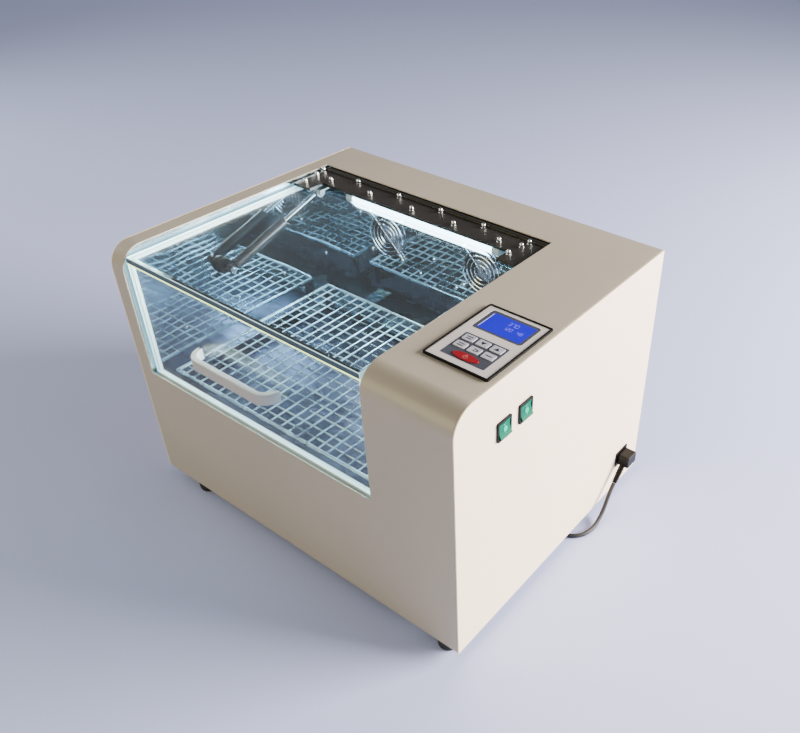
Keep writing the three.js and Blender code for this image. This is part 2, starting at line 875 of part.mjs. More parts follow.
function driveCrank() {
  const weightLow = pulleyLow + pulleyThick;
  const round = rod('z', [crankX, crankY, weightLow - runClear], weightThick, weightRadius);
  const half = block(
    around(crankX, weightRadius * 2), [crankY, crankY + weightRadius], [weightLow - overrun, discLow]);
  return join(
    crank(crankX, crankY, shaftRadius, crankDisc, crankPin),
    rod('z', [crankX, crankY, pulleyLow], pulleyThick, pulleyRadius),
    round.intersect(half),
  );
}
add('drive_crank', driveCrank(), castMetal);
['left', 'right', 'front'].forEach((side, i) => {
  const [x, y] = idlers[i];
  add(`idler_crank_${side}`, crank(x, y, idlerShaft, idlerDisc, idlerPin), castMetal);
});

const shaftTop = pulleyLow + pulleyThick + motorTip;
add('drive_motor', join(
  rod('z', [motorX, motorY, driveTop + seam], motorTop - driveTop - seam, motorRadius),
  rod('z', [motorX, motorY, motorTop - overrun], shaftTop - motorTop + overrun, motorShaft, pinSides),
), castMetal);
add('motor_pulley', tube(
  'z', [motorX, motorY, pulleyLow], pulleyThick, motorPulleyRadius, motorShaft + seam), castMetal);

const beltThick = 2;
const beltInset = 1;
const beltSteps = 12;

// The outline of a belt round both pulleys, standing off their rims.
function beltOutline(off) {
  const dx = motorX - crankX;
  const dy = motorY - crankY;
  const heading = Math.atan2(dy, dx);
  const wrap = Math.acos((pulleyRadius - motorPulleyRadius) / Math.hypot(dx, dy));
  const shape = new THREE.Shape();
  shape.absarc(crankX, crankY, pulleyRadius + off, heading + wrap, heading - wrap + Math.PI * 2, false);
  shape.absarc(motorX, motorY, motorPulleyRadius + off, heading - wrap, heading + wrap, false);
  return shape;
}
add('drive_belt', cut(
  drawZ(beltOutline(seam + beltThick), pulleyLow + beltInset, pulleyLow + pulleyThick - beltInset, beltSteps),
  drawZ(beltOutline(seam), pulleyLow - overrun, pulleyLow + pulleyThick + overrun, beltSteps),
), rubber);

// Platform: a tray on the crank pins, and the spring net on its posts

const trayLift = 22;
const trayLow = floorHeight + trayLift;
const trayThick = 2;
const bossRadius = 13;
const bossClear = 1;
const bossLow = discLow + discThick + bossClear;
const netWire = 3;
const netHalf = netWire / 2;
const frameBar = 6;
const netAcross = 16;
const netAlong = 12;
const netCross = 1;
const netSink = 0.3;
const postSize = 12;
const lipTall = 6;
const netLow = netTop - netWire * 2 + netCross;
const trayInset = 4;
const trayX = around(platformX, netLong - trayInset);
const trayY = around(platformY, netDeep - trayInset);

function traySockets() {
  const pins = [[crankX, crankY, crankPin], ...idlers.map(([x, y]) => [x, y, idlerPin])];
  return pins.map(([x, y, pin]) => cut(
    rod('z', [x, y - orbit, bossLow], trayLow - bossLow + trayThick / 2, bossRadius),
    rod('z', [x, y - orbit, bossLow - overrun], trayLow - bossLow + overrun, pin + runClear, pinSides),
  ));
}

function platformTray() {
  const [x0, x1] = trayX;
  const [y0, y1] = trayY;
  const inner = [[x0 + trayThick, x1 - trayThick], [y0 + trayThick, y1 - trayThick]];
  const pan = cut(
    block(trayX, trayY, [trayLow, trayLow + trayThick + lipTall]),
    block(...inner, [trayLow + trayThick, trayLow + trayThick + lipTall + overrun]),
  );
  const postX = [[x0, x0 + postSize], [x1 - postSize, x1]];
  const postY = [[y0, y0 + postSize], [y1 - postSize, y1]];
  const posts = postX.flatMap((x) => postY.map((y) => block(x, y, [trayLow, netLow - seam])));
  return join(pan, ...posts, ...traySockets());
}
add('platform_tray', platformTray(), steel);

function springNet() {
  const wires = [];
  const within = ([low, high], rim) => [low + rim, high - rim];
  for (let i = 1; i < netAlong; i += 1) {
    const y = netY[0] + (netDeep * i) / netAlong;
    wires.push(block(within(netX, netHalf), around(y, netWire), [netLow + netSink, netLow + netWire]));
  }
  for (let i = 1; i < netAcross; i += 1) {
    const x = netX[0] + (netLong * i) / netAcross;
    wires.push(block(around(x, netWire), within(netY, netHalf), [netTop - netWire, netTop - netSink]));
  }
  const inner = [within(netX, frameBar), within(netY, frameBar)];
  const frame = cut(
    block(netX, netY, [netLow, netTop]),
    block(...inner, [netLow - overrun, netTop + overrun]),
  );
  return join(frame, ...wires);
}
add('spring_net', springNet(), steel);

// Control panel

const panelUnder = caseHeight + seam;
const panelRimTop = panelUnder + panelProud;
const rimSteps = 2;
const plateTop = panelUnder + plateThick;

function panelBezel() {
  const [outX, outY] = panelSpan(0);
  const [inX, inY] = panelSpan(panelRim);
  return cut(
    drawZ(roundedPlan(outX, outY, panelRim), panelUnder, panelRimTop, rimSteps),
    block(inX, inY, [panelUnder - overrun, panelRimTop + overrun]),
  );
}
add('panel_bezel', panelBezel(), blackPlastic);

const screenWide = 75.5;
const screenLong = 47.5;
const screenFromEdge = 104;
const screenY = panelFrontEdge + screenFromEdge;
const screenDrop = 0.4;
const boardDrop = 16;
const boardTop = caseHeight - boardDrop;
const boardThick = 2;
const keyWide = 17.2;
const keyLong = 12.6;
const keyCorner = 2;
const keySteps = 1;
const keyPitchX = 21.2;
const keyPitchY = 17.2;
const keyRowFromEdge = 56.7;
const keyRowY = panelFrontEdge + keyRowFromEdge;
const keyProud = 1.2;
const keyFlange = 1.2;
const keyFlangeThick = 1.6;
const powerWide = 39;
const powerLong = 13.5;
const powerFromEdge = 22;
const powerY = panelFrontEdge + powerFromEdge;
const keyTravelRoom = 1;

const keys = [];
for (const row of [0, 1]) {
  for (const column of [-1, 0, 1]) {
    const at = [panelX + keyPitchX * column, keyRowY - keyPitchY * row];
    keys.push([`key_${keys.length + 1}`, ...at, keyWide, keyLong, keyCorner]);
  }
}
keys.push(['power_key', panelX, powerY, powerWide, powerLong, powerLong / 2 - seam]);

function keyPlan(key, grow) {
  const [, x, y, wide, long, corner] = key;
  return roundedPlan(around(x, wide + grow * 2), around(y, long + grow * 2), corner + Math.max(grow, 0));
}

function panelFaceplate() {
  const [x, y] = panelSpan(plateInset);
  const through = [panelUnder - overrun, plateTop + overrun];
  const window = block(
    around(panelX, screenWide + seam * 2), around(screenY, screenLong + seam * 2), through);
  const holes = keys.map((key) => drawZ(keyPlan(key, seam), ...through, keySteps));
  return cut(block(x, y, [panelUnder, plateTop]), window, ...holes);
}
add('panel_faceplate', panelFaceplate(), facePlastic);
const screenZ = [boardTop + seam, plateTop - screenDrop];
add('lcd_screen', block(around(panelX, screenWide), around(screenY, screenLong), screenZ), screenBlue);

const flangeTop = panelUnder - runClear;
const flangeLow = flangeTop - keyFlangeThick;
for (const key of keys) {
  const cap = drawZ(keyPlan(key, 0), flangeLow, plateTop + keyProud, keySteps);
  const flange = drawZ(keyPlan(key, keyFlange), flangeLow, flangeTop, keySteps);
  add(key[0], join(cap, flange), key[0] === 'power_key' ? redPlastic : keyPlastic);
}

function controlBoard() {
  const [x, y] = panelSpan(panelRim);
  const low = boardTop - boardThick / 2;
  const stems = keys.map(([, kx, ky, wide, long]) => block(
    around(kx, wide / 2), around(ky, long / 2), [low, flangeLow - keyTravelRoom]));
  const cornerAt = ([from, to]) => [[from, from + panelRim], [to - panelRim, to]];
  const corners = cornerAt(x).flatMap((spanX) => cornerAt(y).map((spanY) => block(
    spanX, spanY, [low, underTop - seam])));
  return join(block(x, y, [boardTop - boardThick, boardTop]), ...stems, ...corners);
}
add('control_board', controlBoard(), boardGreen);

// Rocker switches

const rockerSink = 4;
const rockerX = right - rockerSink;
const rockerGap = 0.4;
const cavityWide = switchWide - switchWall * 2;
const cavityTall = switchTall - switchWall * 2;
const rockerWide = cavityWide - rockerGap * 2;
const rockerHalf = 11;
const rockerPeak = 8.78;
const rockerDip = 6;
const rockerBack = 6;
const rockerTilt = THREE.MathUtils.degToRad(8);
const trunnion = 1.5;
const trunnionLong = 0.8;

function switchHousing(y) {
  const bodyWide = switchWide - switchLip * 2;
  const bodyTall = switchTall - switchLip * 2;
  const face = right + seam;
  const rear = face - switchDeep;
  const body = join(
    block([rear, face + switchProud / 2], around(y, bodyWide), around(switchZ, bodyTall)),
    block([face, face + switchProud], around(y, switchWide), around(switchZ, switchTall)),
  );
  const cavityX = [rear + switchWall, face + switchProud + overrun];
  const socketAt = [rockerX, y - cavityWide / 2 - trunnionLong, switchZ];
  return cut(
    body,
    block(cavityX, around(y, cavityWide), around(switchZ, cavityTall)),
    rod('y', socketAt, cavityWide + trunnionLong * 2, trunnion + rockerGap, pinSides),
  );
}

// The rocker seen from the front: a hollow face, with both ends standing proud.
function rocker(y) {
  const face = outline([
    [-rockerBack, -rockerHalf / 2], [rockerPeak, -rockerHalf], [rockerDip, 0],
    [rockerPeak, rockerHalf], [-rockerBack, rockerHalf / 2],
  ]);
  const body = join(
    drawY(face, -rockerWide / 2, rockerWide / 2),
    rod('y', [0, -rockerWide / 2 - trunnionLong, 0], rockerWide + trunnionLong * 2, trunnion, pinSides),
  );
  return body.rotate([0, -THREE.MathUtils.radToDeg(rockerTilt), 0]).translate([rockerX, y, switchZ]);
}

switchY.forEach((y, i) => {
  const side = ['front', 'rear'][i];
  add(`switch_housing_${side}`, switchHousing(y), blackPlastic);
  add(`rocker_${side}`, rocker(y), greenPlastic);
});

// Mains inlet and the angled connector in it

const socketWide = 24;
const socketTall = 17;
const socketDeep = 16;
const noseLong = 14;
const plugWide = 28;
const plugTall = 22;
const plugOut = 20;
const plugCorner = 4;
const plugSteps = 3;
const reliefFrom = 4.6;
const reliefTo = 4;
const cordDiameter = 7;
const cordRadius = cordDiameter / 2;

function powerInlet() {
  const face = right + seam;
  const bodyWide = inletWide - inletLip * 2;
  const bodyTall = inletTall - inletLip * 2;
  const socketX = [face + inletProud - socketDeep, face + inletProud + overrun];
  return cut(
    join(
      block([face - inletDeep, face + inletProud / 2], around(inletY, bodyWide), around(inletZ, bodyTall)),
      block([face, face + inletProud], around(inletY, inletWide), around(inletZ, inletTall)),
    ),
    block(socketX, around(inletY, socketWide), around(inletZ, socketTall)),
  );
}
add('power_inlet', powerInlet(), blackPlastic);

// The strain relief leaves the connector forward and down, and the cord follows it.
// Its route goes out from the right side, back from the inlet, and up from the bench.
const cordLie = cordRadius + 0.1;
const cordLow = cordLie - footHeight;
const fromInlet = ([out, along, up]) => [right + out, inletY + along, up - footHeight];
const reliefStart = fromInlet([12.6, -11, 74]);
const cordRoute = [
  [12.6, -37, 49.7], [12.9, -45, 42.2], [13.7, -53, 34.7], [14.8, -61, 27.2], [15.9, -69, 19.7],
  [16.8, -77.2, 13.3], [17.5, -86.5, 8.4], [18, -96.4, 5.1],
  [17.4, -109, cordLie], [12.6, -127, cordLie], [-2, -141.6, cordLie], [-22, -147, cordLie],
  [-42, -141.6, cordLie], [-56.6, -127, cordLie], [-62, -107, cordLie], [-62, -77, cordLie],
  [-62, -42, cordLie], [-62, -7, cordLie], [-62, 28, cordLie], [-62, 63, cordLie], [-62, 98, cordLie],
  [-62, 125, cordLie],
].map(fromInlet);

// A tube along a curve, with its ends square to it.
function cordTube(curve, steps, sides, radius) {
  const ring = new THREE.Shape();
  for (let i = 0; i < sides; i += 1) {
    const turn = (i + 0.5) * Math.PI * 2 / sides;
    const [u, v] = [radius * Math.cos(turn), radius * Math.sin(turn)];
    if (i) ring.lineTo(u, v);
    else ring.moveTo(u, v);
  }
  return new THREE.ExtrudeGeometry(ring, { steps, extrudePath: curve, bevelEnabled: false });
}

function through(points) {
  return new THREE.CatmullRomCurve3(points.map((p) => new THREE.Vector3(...p)));
}

function cordConnector() {
  const x0 = right + seam + inletProud + seam;
  const section = roundedPlan(around(inletY, plugWide), around(inletZ, plugTall), plugCorner);
  const body = drawX(section, x0, x0 + plugOut, plugSteps);
  const nose = block([right + seam + inletProud - noseLong, x0 + overrun],
    around(inletY, socketWide - seam * 2), around(inletZ, socketTall - seam * 2));
  const start = new THREE.Vector3(...reliefStart);
  const away = new THREE.Vector3(...cordRoute[0]).sub(start);
  const reliefLong = away.length() - seam;
  const heading = new THREE.Quaternion().setFromUnitVectors(new THREE.Vector3(0, 1, 0), away.normalize());
  const relief = new THREE.CylinderGeometry(reliefTo, reliefFrom, reliefLong, pinSides);
  relief.translate(0, reliefLong / 2, 0).applyQuaternion(heading);
  return join(body, nose, solid(relief.translate(...reliefStart)));
}
add('cord_connector', cordConnector(), blackPlastic);
const cordSteps = 44;
const cordSides = 8;
add('power_cord', solid(cordTube(through(cordRoute), cordSteps, cordSides, cordRadius)), cordBlack);

// Coil behind the case: it winds in, climbs a layer in the half turn where it reverses, and winds out.

const [coilEndX, coilEndY] = cordRoute[cordRoute.length - 1];
const coilOuter = 50;
const coilLead = 8;
const coilX = coilEndX - coilOuter;
const coilY = coilEndY + coilLead;
const coilPitch = 8.8;
const coilLift = 8;
const coilTurnsIn = 2.375;
const coilTurnsTurn = 0.5;
const coilSteps = 24;
const coilSides = 6;
const tailLong = 78.6;
const tailDrop = 60;
const tailSteps = 6;

// A rise from 0 to 1 that starts and ends level.
function eased(share) {
  return share * share * (3 - 2 * share);
}

function coilPoint(turns) {
  const all = coilTurnsIn * 2 + coilTurnsTurn;
  const inward = Math.min(turns, coilTurnsIn, all - turns);
  const climb = THREE.MathUtils.clamp((turns - coilTurnsIn) / coilTurnsTurn, 0, 1);
  const angle = turns * Math.PI * 2;
  const radius = coilOuter - coilPitch * Math.max(inward, 0);
  const x = coilX + radius * Math.cos(angle);
  const y = coilY + radius * Math.sin(angle);
  return new THREE.Vector3(x, y, cordLow + coilLift * eased(climb));
}

function coilPoints() {
  const all = coilTurnsIn * 2 + coilTurnsTurn;
  const count = Math.round(all * coilSteps);
  const points = [];
  for (let i = 1; i <= count; i += 1) points.push(coilPoint((all * i) / count));
  return points;
}

// The tail leaves the top layer along the last turn's heading and comes down to the bench.
function tailPoints(from) {
  const points = [];
  for (let i = 1; i <= tailSteps; i += 1) {
    const run = (tailLong * i) / tailSteps;
    const fall = eased(THREE.MathUtils.clamp(run / tailDrop, 0, 1));
    points.push(new THREE.Vector3(from.x - run, from.y, from.z - coilLift * fall));
  }
  return points;
}

// The least gap between the coil's turns, measured on points that lie over a quarter turn apart.
function leastGap(points) {
  let least = Infinity;
  for (let i = 0; i < points.length; i += 1) {
    for (let j = i + coilSteps / 2; j < points.length; j += 1) {
      const line = new THREE.Line3(points[j - 1], points[j]);
      const near = line.closestPointToPoint(points[i], true, new THREE.Vector3());
      least = Math.min(least, near.distanceTo(points[i]));
    }
  }
  return least - cordDiameter;
}

function cordCoil() {
  const start = new THREE.Vector3(coilEndX, coilEndY + seam, cordLow);
  const turns = [start, new THREE.Vector3(coilEndX, coilY, cordLow), ...coilPoints()];
  const points = [...turns, ...tailPoints(turns[turns.length - 1])];
  const whole = through(cordRoute).getLength() + points.slice(1).reduce(
    (sum, point, i) => sum + point.distanceTo(points[i]), seam);
  console.log(`least gap of the coil's turns ${leastGap(points).toFixed(2)} mm, cord ${whole.toFixed(1)} mm`);
  return points;
}

// A tube swept over points, with one ring of corners at each point, square to the path there.
function sweep(points, sides, radius) {
  const corners = [];
  const faces = [];
  const up = new THREE.Vector3(0, 0, 1);
  points.forEach((point, i) => {
    const ahead = points[Math.min(i + 1, points.length - 1)];
    const behind = points[Math.max(i - 1, 0)];
    const heading = ahead.clone().sub(behind).normalize();
    const across = heading.clone().cross(up).normalize();
    const rise = across.clone().cross(heading);
    for (let k = 0; k < sides; k += 1) {
      const turn = (k * Math.PI * 2) / sides;
      const [u, v] = [radius * Math.cos(turn), radius * Math.sin(turn)];
      corners.push(...point.clone().addScaledVector(across, u).addScaledVector(rise, v).toArray());
      if (i) {
        const next = (k + 1) % sides;
        const [a, b] = [(i - 1) * sides + k, (i - 1) * sides + next];
        faces.push(a, b + sides, b, a, a + sides, b + sides);
      }
    }
  });
  const last = (points.length - 1) * sides;
  for (let k = 1; k < sides - 1; k += 1) faces.push(0, k, k + 1, last, last + k + 1, last + k);
  const geometry = new THREE.BufferGeometry();
  geometry.setAttribute('position', new THREE.Float32BufferAttribute(corners, 3));
  geometry.setIndex(faces);
  return geometry;
}
const coilPath = cordCoil();
add('cord_coil', solid(sweep(coilPath, coilSides, cordRadius)), cordBlack);

// Mains plug lying on the bench at the tail's end

const plugBodyLong = 34;
const plugBodyWide = 34;
const plugBodyTall = 20;
const plugNeck = 16;
const bladeLong = 16;
const bladeWide = 6.3;
const bladeFlat = 1.6;
const bladeSpread = 6.35;
const earthRadius = 2.4;

function mainsPlug() {
  const tail = coilPath[coilPath.length - 1];
  const x0 = tail.x - seam;
  const floor = -footHeight;
  const neckX = x0 - plugNeck;
  const bodyX = neckX - plugBodyLong;
  const middle = floor + plugBodyTall / 2;
  const neck = new THREE.CylinderGeometry(reliefTo - seam, reliefFrom, plugNeck + overrun, pinSides);
  neck.rotateZ(-Math.PI / 2).translate(x0 - (plugNeck + overrun) / 2, tail.y, floor + reliefFrom + seam);
  const bladeX = [bodyX - bladeLong, bodyX + overrun];
  const blades = [-1, 1].map((side) => block(
    bladeX, around(tail.y + bladeSpread * side, bladeFlat), around(middle, bladeWide)));
  const earthAt = [bladeX[0], tail.y, middle + bladeWide];
  const earth = rod('x', earthAt, bladeLong + overrun, earthRadius, pinSides);
  const section = roundedPlan(around(tail.y, plugBodyWide), [floor, floor + plugBodyTall], plugCorner);
  const body = drawX(section, bodyX, neckX, plugSteps);
  return join(body, solid(neck), ...blades, earth);
}
add('mains_plug', mainsPlug(), blackPlastic);

// The object without its cord stands with its middle over the origin.
const rockerReach = Math.max(...[-1, 1].map((side) => {
  const x = rockerPeak * Math.cos(rockerTilt) - side * rockerHalf * Math.sin(rockerTilt);
  return rockerX + x - right;
}));
inside.position.set(-rockerReach / 2, handleReach / 2 - paneSetBack / 2, footHeight);

export default machine;
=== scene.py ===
"""Looks of an incubated benchtop shaker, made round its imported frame.

Sizes are in millimetres from the middle of the case's underside: x right, y back, z up.
"""
import math

import bmesh
import bpy
from mathutils import Matrix, Vector


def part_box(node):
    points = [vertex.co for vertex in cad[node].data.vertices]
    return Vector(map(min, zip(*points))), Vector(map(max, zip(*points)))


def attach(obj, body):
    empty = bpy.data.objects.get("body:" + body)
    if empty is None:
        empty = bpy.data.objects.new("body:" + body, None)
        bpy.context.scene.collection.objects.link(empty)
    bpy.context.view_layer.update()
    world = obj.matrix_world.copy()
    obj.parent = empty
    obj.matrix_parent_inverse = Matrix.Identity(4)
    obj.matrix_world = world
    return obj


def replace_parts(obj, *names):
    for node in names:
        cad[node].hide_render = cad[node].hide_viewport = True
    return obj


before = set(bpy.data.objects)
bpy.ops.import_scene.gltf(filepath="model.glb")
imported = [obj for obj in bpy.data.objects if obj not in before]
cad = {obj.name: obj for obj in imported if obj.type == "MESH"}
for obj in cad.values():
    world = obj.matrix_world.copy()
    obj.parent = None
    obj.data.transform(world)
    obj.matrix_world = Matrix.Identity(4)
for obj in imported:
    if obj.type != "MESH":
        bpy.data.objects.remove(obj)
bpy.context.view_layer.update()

MM = 0.001
MERGE, SLIVER = 0.005, 0.001
panel_low, panel_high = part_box("side_panel_left")[0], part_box("side_panel_right")[1]
CASE = Vector(((panel_low.x + panel_high.x) / 2, (panel_low.y + panel_high.y) / 2, panel_low.z))

# The case, its opening and its lid
LEFT, RIGHT, FRONT, BACK, TOP = -320, 320, -245, 245, 420
CORNER = 36
SHEET = 2
SEAM = 0.3
OPEN_LEFT, OPEN_RIGHT, OPEN_BACK, APRON = -291.5, 176, 162, 208
PANE_LEFT, PANE_RIGHT, PANE_FRONT, PANE_BACK = -288.2, 172.7, -238, 150
PANE_TOP, PANE_THICK, PANE_LOW, BEVEL = 409.5, 10, 209.8, 2.2
WALL_LEFT, WALL_RIGHT, WALL_BACK, FLOOR = -297, 182, 172.5, 128


def place(x, y, z):
    """A point of the case as a point of the row frame, in metres."""
    return CASE + Vector((x, y, z)) * MM


def spans(node):
    """A CAD node's box in the case's millimetres, as three pairs."""
    return tuple(tuple((corner[i] - CASE[i]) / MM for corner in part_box(node)) for i in range(3))


def middle(span):
    return (span[0] + span[1]) / 2


def size(span):
    return span[1] - span[0]


def grown(span, by):
    return span[0] - by, span[1] + by


def around(centre, whole):
    return centre - whole / 2, centre + whole / 2


def inside(value, span):
    return span[0] < value < span[1]


def lies_along(axis):
    """The test for edges along an axis, and faces square to it."""
    def test(at, way):
        return abs(way[axis]) > 0.9
    return test


X_WAY, Y_WAY, Z_WAY = (lies_along(axis) for axis in range(3))


def front_top(at, way):
    return X_WAY(at, way) and at.y < FRONT + 1 and at.z > TOP - 1


# Ways of working: each does by operator what a hand would do


def only(piece):
    """Leaves one piece selected and active, in object mode."""
    if bpy.context.object is not None and bpy.context.object.mode != "OBJECT":
        bpy.ops.object.mode_set(mode="OBJECT")
    bpy.ops.object.select_all(action="DESELECT")
    piece.select_set(True)
    bpy.context.view_layer.objects.active = piece
    return piece


def settled(name):
    """The primitive just added, named, with its place in its mesh."""
    piece = bpy.context.object
    piece.name = piece.data.name = name
    bpy.ops.object.transform_apply(location=True, rotation=True, scale=True)
    return piece


def modify(piece, kind, **settings):
    only(piece)
    modifier = piece.modifiers.new(kind, kind)
    for key, value in settings.items():
        setattr(modifier, key, value)
    bpy.ops.object.modifier_apply(modifier=modifier.name)
    return piece


def smooth(piece, degrees=38):
    only(piece)
    bpy.ops.object.shade_smooth_by_angle(angle=math.radians(degrees))
    return piece


def even(piece):
    """Keeps flats beside rounds flat in the shading."""
    return modify(piece, "WEIGHTED_NORMAL", mode="FACE_AREA", weight=100, keep_sharp=True)


def soften(piece, width, segments=2, degrees=35, clamp=True):
    """Breaks the edges by a small round, in millimetres."""
    modify(piece, "BEVEL", width=width * MM, segments=segments, limit_method="ANGLE",
           angle_limit=math.radians(degrees), use_clamp_overlap=clamp)
    shape = bmesh.new()
    shape.from_mesh(piece.data)
    bmesh.ops.dissolve_degenerate(shape, dist=SLIVER * MM, edges=shape.edges)
    shape.to_mesh(piece.data)
    shape.free()
    return even(smooth(piece))


def choose(piece, test, kind="FACE"):
    """Chooses in edit mode what passes the test of its place and direction."""
    only(piece)
    bpy.ops.object.mode_set(mode="EDIT")
    bpy.ops.mesh.select_mode(type=kind)
    bpy.ops.mesh.select_all(action="DESELECT")
    mesh = bmesh.from_edit_mesh(piece.data)
    for part in mesh.faces if kind == "FACE" else mesh.edges:
        corners = [corner.co for corner in part.verts]
        at = (sum(corners, Vector()) / len(corners) - CASE) / MM
        way = part.normal if kind == "FACE" else (corners[1] - corners[0]).normalized()
        part.select_set(test(at, way))
    bmesh.update_edit_mesh(piece.data)
    return piece


def opened(piece):
    """Enters edit mode with everything chosen."""
    only(piece)
    bpy.ops.object.mode_set(mode="EDIT")
    bpy.ops.mesh.select_all(action="SELECT")
    return piece


def done(piece):
    bpy.ops.object.mode_set(mode="OBJECT")
    return piece


def round_edges(piece, test, radius, segments):
    choose(piece, test, "EDGE")
    bpy.ops.mesh.bevel(offset=radius * MM, segments=segments, affect="EDGES", profile=0.5)
    return done(piece)


def drop(piece, test):
    choose(piece, test)
    bpy.ops.mesh.delete(type="FACE")
    return done(piece)


def score(piece, axis, at):
    """Cuts all faces along a plane square to an axis, and keeps both sides."""
    opened(piece)
    across = Vector([i == axis for i in range(3)])
    bpy.ops.mesh.bisect(plane_co=place(*(across * at)), plane_no=across)
    return done(piece)


def filling(name, *box):
    """The unit primitive just added, made to fill a box."""
    bpy.context.object.location = place(*(middle(span) for span in box))
    bpy.context.object.scale = [abs(size(span)) * MM for span in box]
    return settled(name)


def slab(name, xs, ys, zs, soft=0.0):
    bpy.ops.mesh.primitive_cube_add(size=1)
    piece = filling(name, xs, ys, zs)
    return soften(piece, soft) if soft else piece


def oval(name, xs, ys, zs):
    """An upright oval block."""
    bpy.ops.mesh.primitive_cylinder_add(vertices=64, radius=0.5, depth=1)
    return filling(name, xs, ys, zs)


def facing_turn(way):
    """The turn that stands a primitive along a way."""
    return Vector(way).to_track_quat("Z", "Y").to_euler()


def bar(name, start, end, radius, tip=None, sides=32, soft=0.0):
    """A round bar, or a cone, between two points."""
    low, high = place(*start), place(*end)
    run = high - low
    bpy.ops.mesh.primitive_cone_add(
        vertices=sides, radius1=radius * MM, radius2=(radius if tip is None else tip) * MM,
        depth=run.length, location=(low + high) / 2, rotation=facing_turn(run))
    return soften(settled(name), soft) if soft else smooth(settled(name))


def level(name, xs, y, z, radius, *rest, **more):
    """A bar from left to right."""
    return bar(name, (xs[0], y, z), (xs[1], y, z), radius, *rest, **more)


def ring(name, centre, radius, wire, facing=(0, 1, 0), steps=48, sides=8):
    bpy.ops.mesh.primitive_torus_add(
        major_radius=radius * MM, minor_radius=wire * MM, major_segments=steps,
        minor_segments=sides, location=place(*centre), rotation=facing_turn(facing))
    return smooth(settled(name))


def dome(name, centre, radius, rise, facing=(0, 0, 1)):
    """A domed screw head: half a flattened ball."""
    bpy.ops.mesh.primitive_uv_sphere_add(segments=20, ring_count=10, radius=radius * MM)
    head = bpy.context.object
    head.scale.z = rise / radius
    bpy.ops.object.transform_apply(location=False, rotation=False, scale=True)
    opened(head)
    bpy.ops.mesh.bisect(plane_co=(0, 0, 0), plane_no=(0, 0, 1), clear_inner=True, use_fill=True)
    done(head)
    head.rotation_euler = facing_turn(facing)
    head.location = place(*centre)
    return smooth(settled(name))


def joined(name, pieces):
    """Several meshes as one piece, each still its own shell."""
    only(pieces[0])
    for piece in pieces[1:]:
        piece.select_set(True)
    bpy.ops.object.join()
    pieces[0].name = pieces[0].data.name = name
    return pieces[0]


def carved(piece, cutters, operation="DIFFERENCE"):
    for cutter in cutters:
        modify(piece, "BOOLEAN", operation=operation, object=cutter, solver="EXACT")
        bpy.data.objects.remove(cutter)
    modify(piece, "WELD", merge_threshold=MERGE * MM)
    return modify(piece, "TRIANGULATE", min_vertices=5, ngon_method="CLIP")


def shown(name, data):
    made = bpy.data.objects.new(name, data)
    bpy.context.scene.collection.objects.link(made)
    return made


def twin(piece, shift):
    """A copy with its own mesh, a little way off."""
    copy = shown(piece.name, piece.data.copy())
    copy.data.transform(Matrix.Translation(Vector(shift) * MM))
    return copy


def paint_faces(piece, number, test):
    """Gives the faces that pass the test the piece's material of that number."""
    for face in piece.data.polygons:
        if test((face.center - CASE) / MM, face.normal):
            face.material_index = number
    return piece


def coat(piece, *finishes):
    piece.data.materials.clear()
    for finish in finishes:
        piece.data.materials.append(finish)


def dress(piece, slot, *finishes, node=None, body="housing"):
    """Gives a piece its materials, body and the CAD node it replaces; the slot is not used."""
    coat(piece, *finishes)
    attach(piece, body)
    if node:
        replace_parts(piece, node)
    return piece


# Camera


def view_camera():
    turn, tilt, roll = (math.radians(angle) for angle in (34.94, 36.77, 1.64))
    lens = bpy.data.cameras.new("view_camera")
    lens.sensor_fit = "HORIZONTAL"
    lens.sensor_width, lens.lens = 36, 37.7
    lens.shift_x, lens.shift_y = -0.14, 0.02
    lens.clip_start, lens.clip_end = 0.05, 30
    camera = bpy.context.scene.camera = shown("view_camera", lens)
    camera.matrix_world = (
        Matrix.Translation(place(772.9, -783.8, 994.4)) @ Matrix.Rotation(turn, 4, "Z")
        @ Matrix.Rotation(math.pi / 2 - tilt, 4, "X") @ Matrix.Rotation(roll, 4, "Z"))


view_camera()

# Materials


def linked(tree, kind, inputs=None, **settings):
    """A shader node with its settings, and its sockets set or joined."""
    made = tree.nodes.new("ShaderNode" + kind)
    for key, value in settings.items():
        setattr(made, key, value)
    for key, value in (inputs or {}).items():
        if isinstance(value, bpy.types.NodeSocket):
            tree.links.new(value, made.inputs[key])
        else:
            made.inputs[key].default_value = value
    return made


def new_group(name, inputs, outputs):
    tree = bpy.data.node_groups.new(name, "ShaderNodeTree")
    for socket, value in inputs.items():
        made = tree.interface.new_socket(socket, in_out="INPUT", socket_type="NodeSocketFloat")
        made.default_value = value
    for socket, kind in outputs.items():
        tree.interface.new_socket(socket, in_out="OUTPUT", socket_type=kind)
    return tree, tree.nodes.new("NodeGroupInput").outputs, tree.nodes.new("NodeGroupOutput")


def where_on(tree):
    return tree.nodes.new("ShaderNodeTexCoord").outputs["Object"]


def noise(tree, scale, detail):
    inputs = {"Vector": where_on(tree), "Scale": scale, "Detail": detail}
    return linked(tree, "TexNoise", inputs).outputs["Fac"]


def ramp(tree, value, low, high):
    inputs = {"Value": value, "From Min": low, "From Max": high}
    return linked(tree, "MapRange", inputs).outputs["Result"]


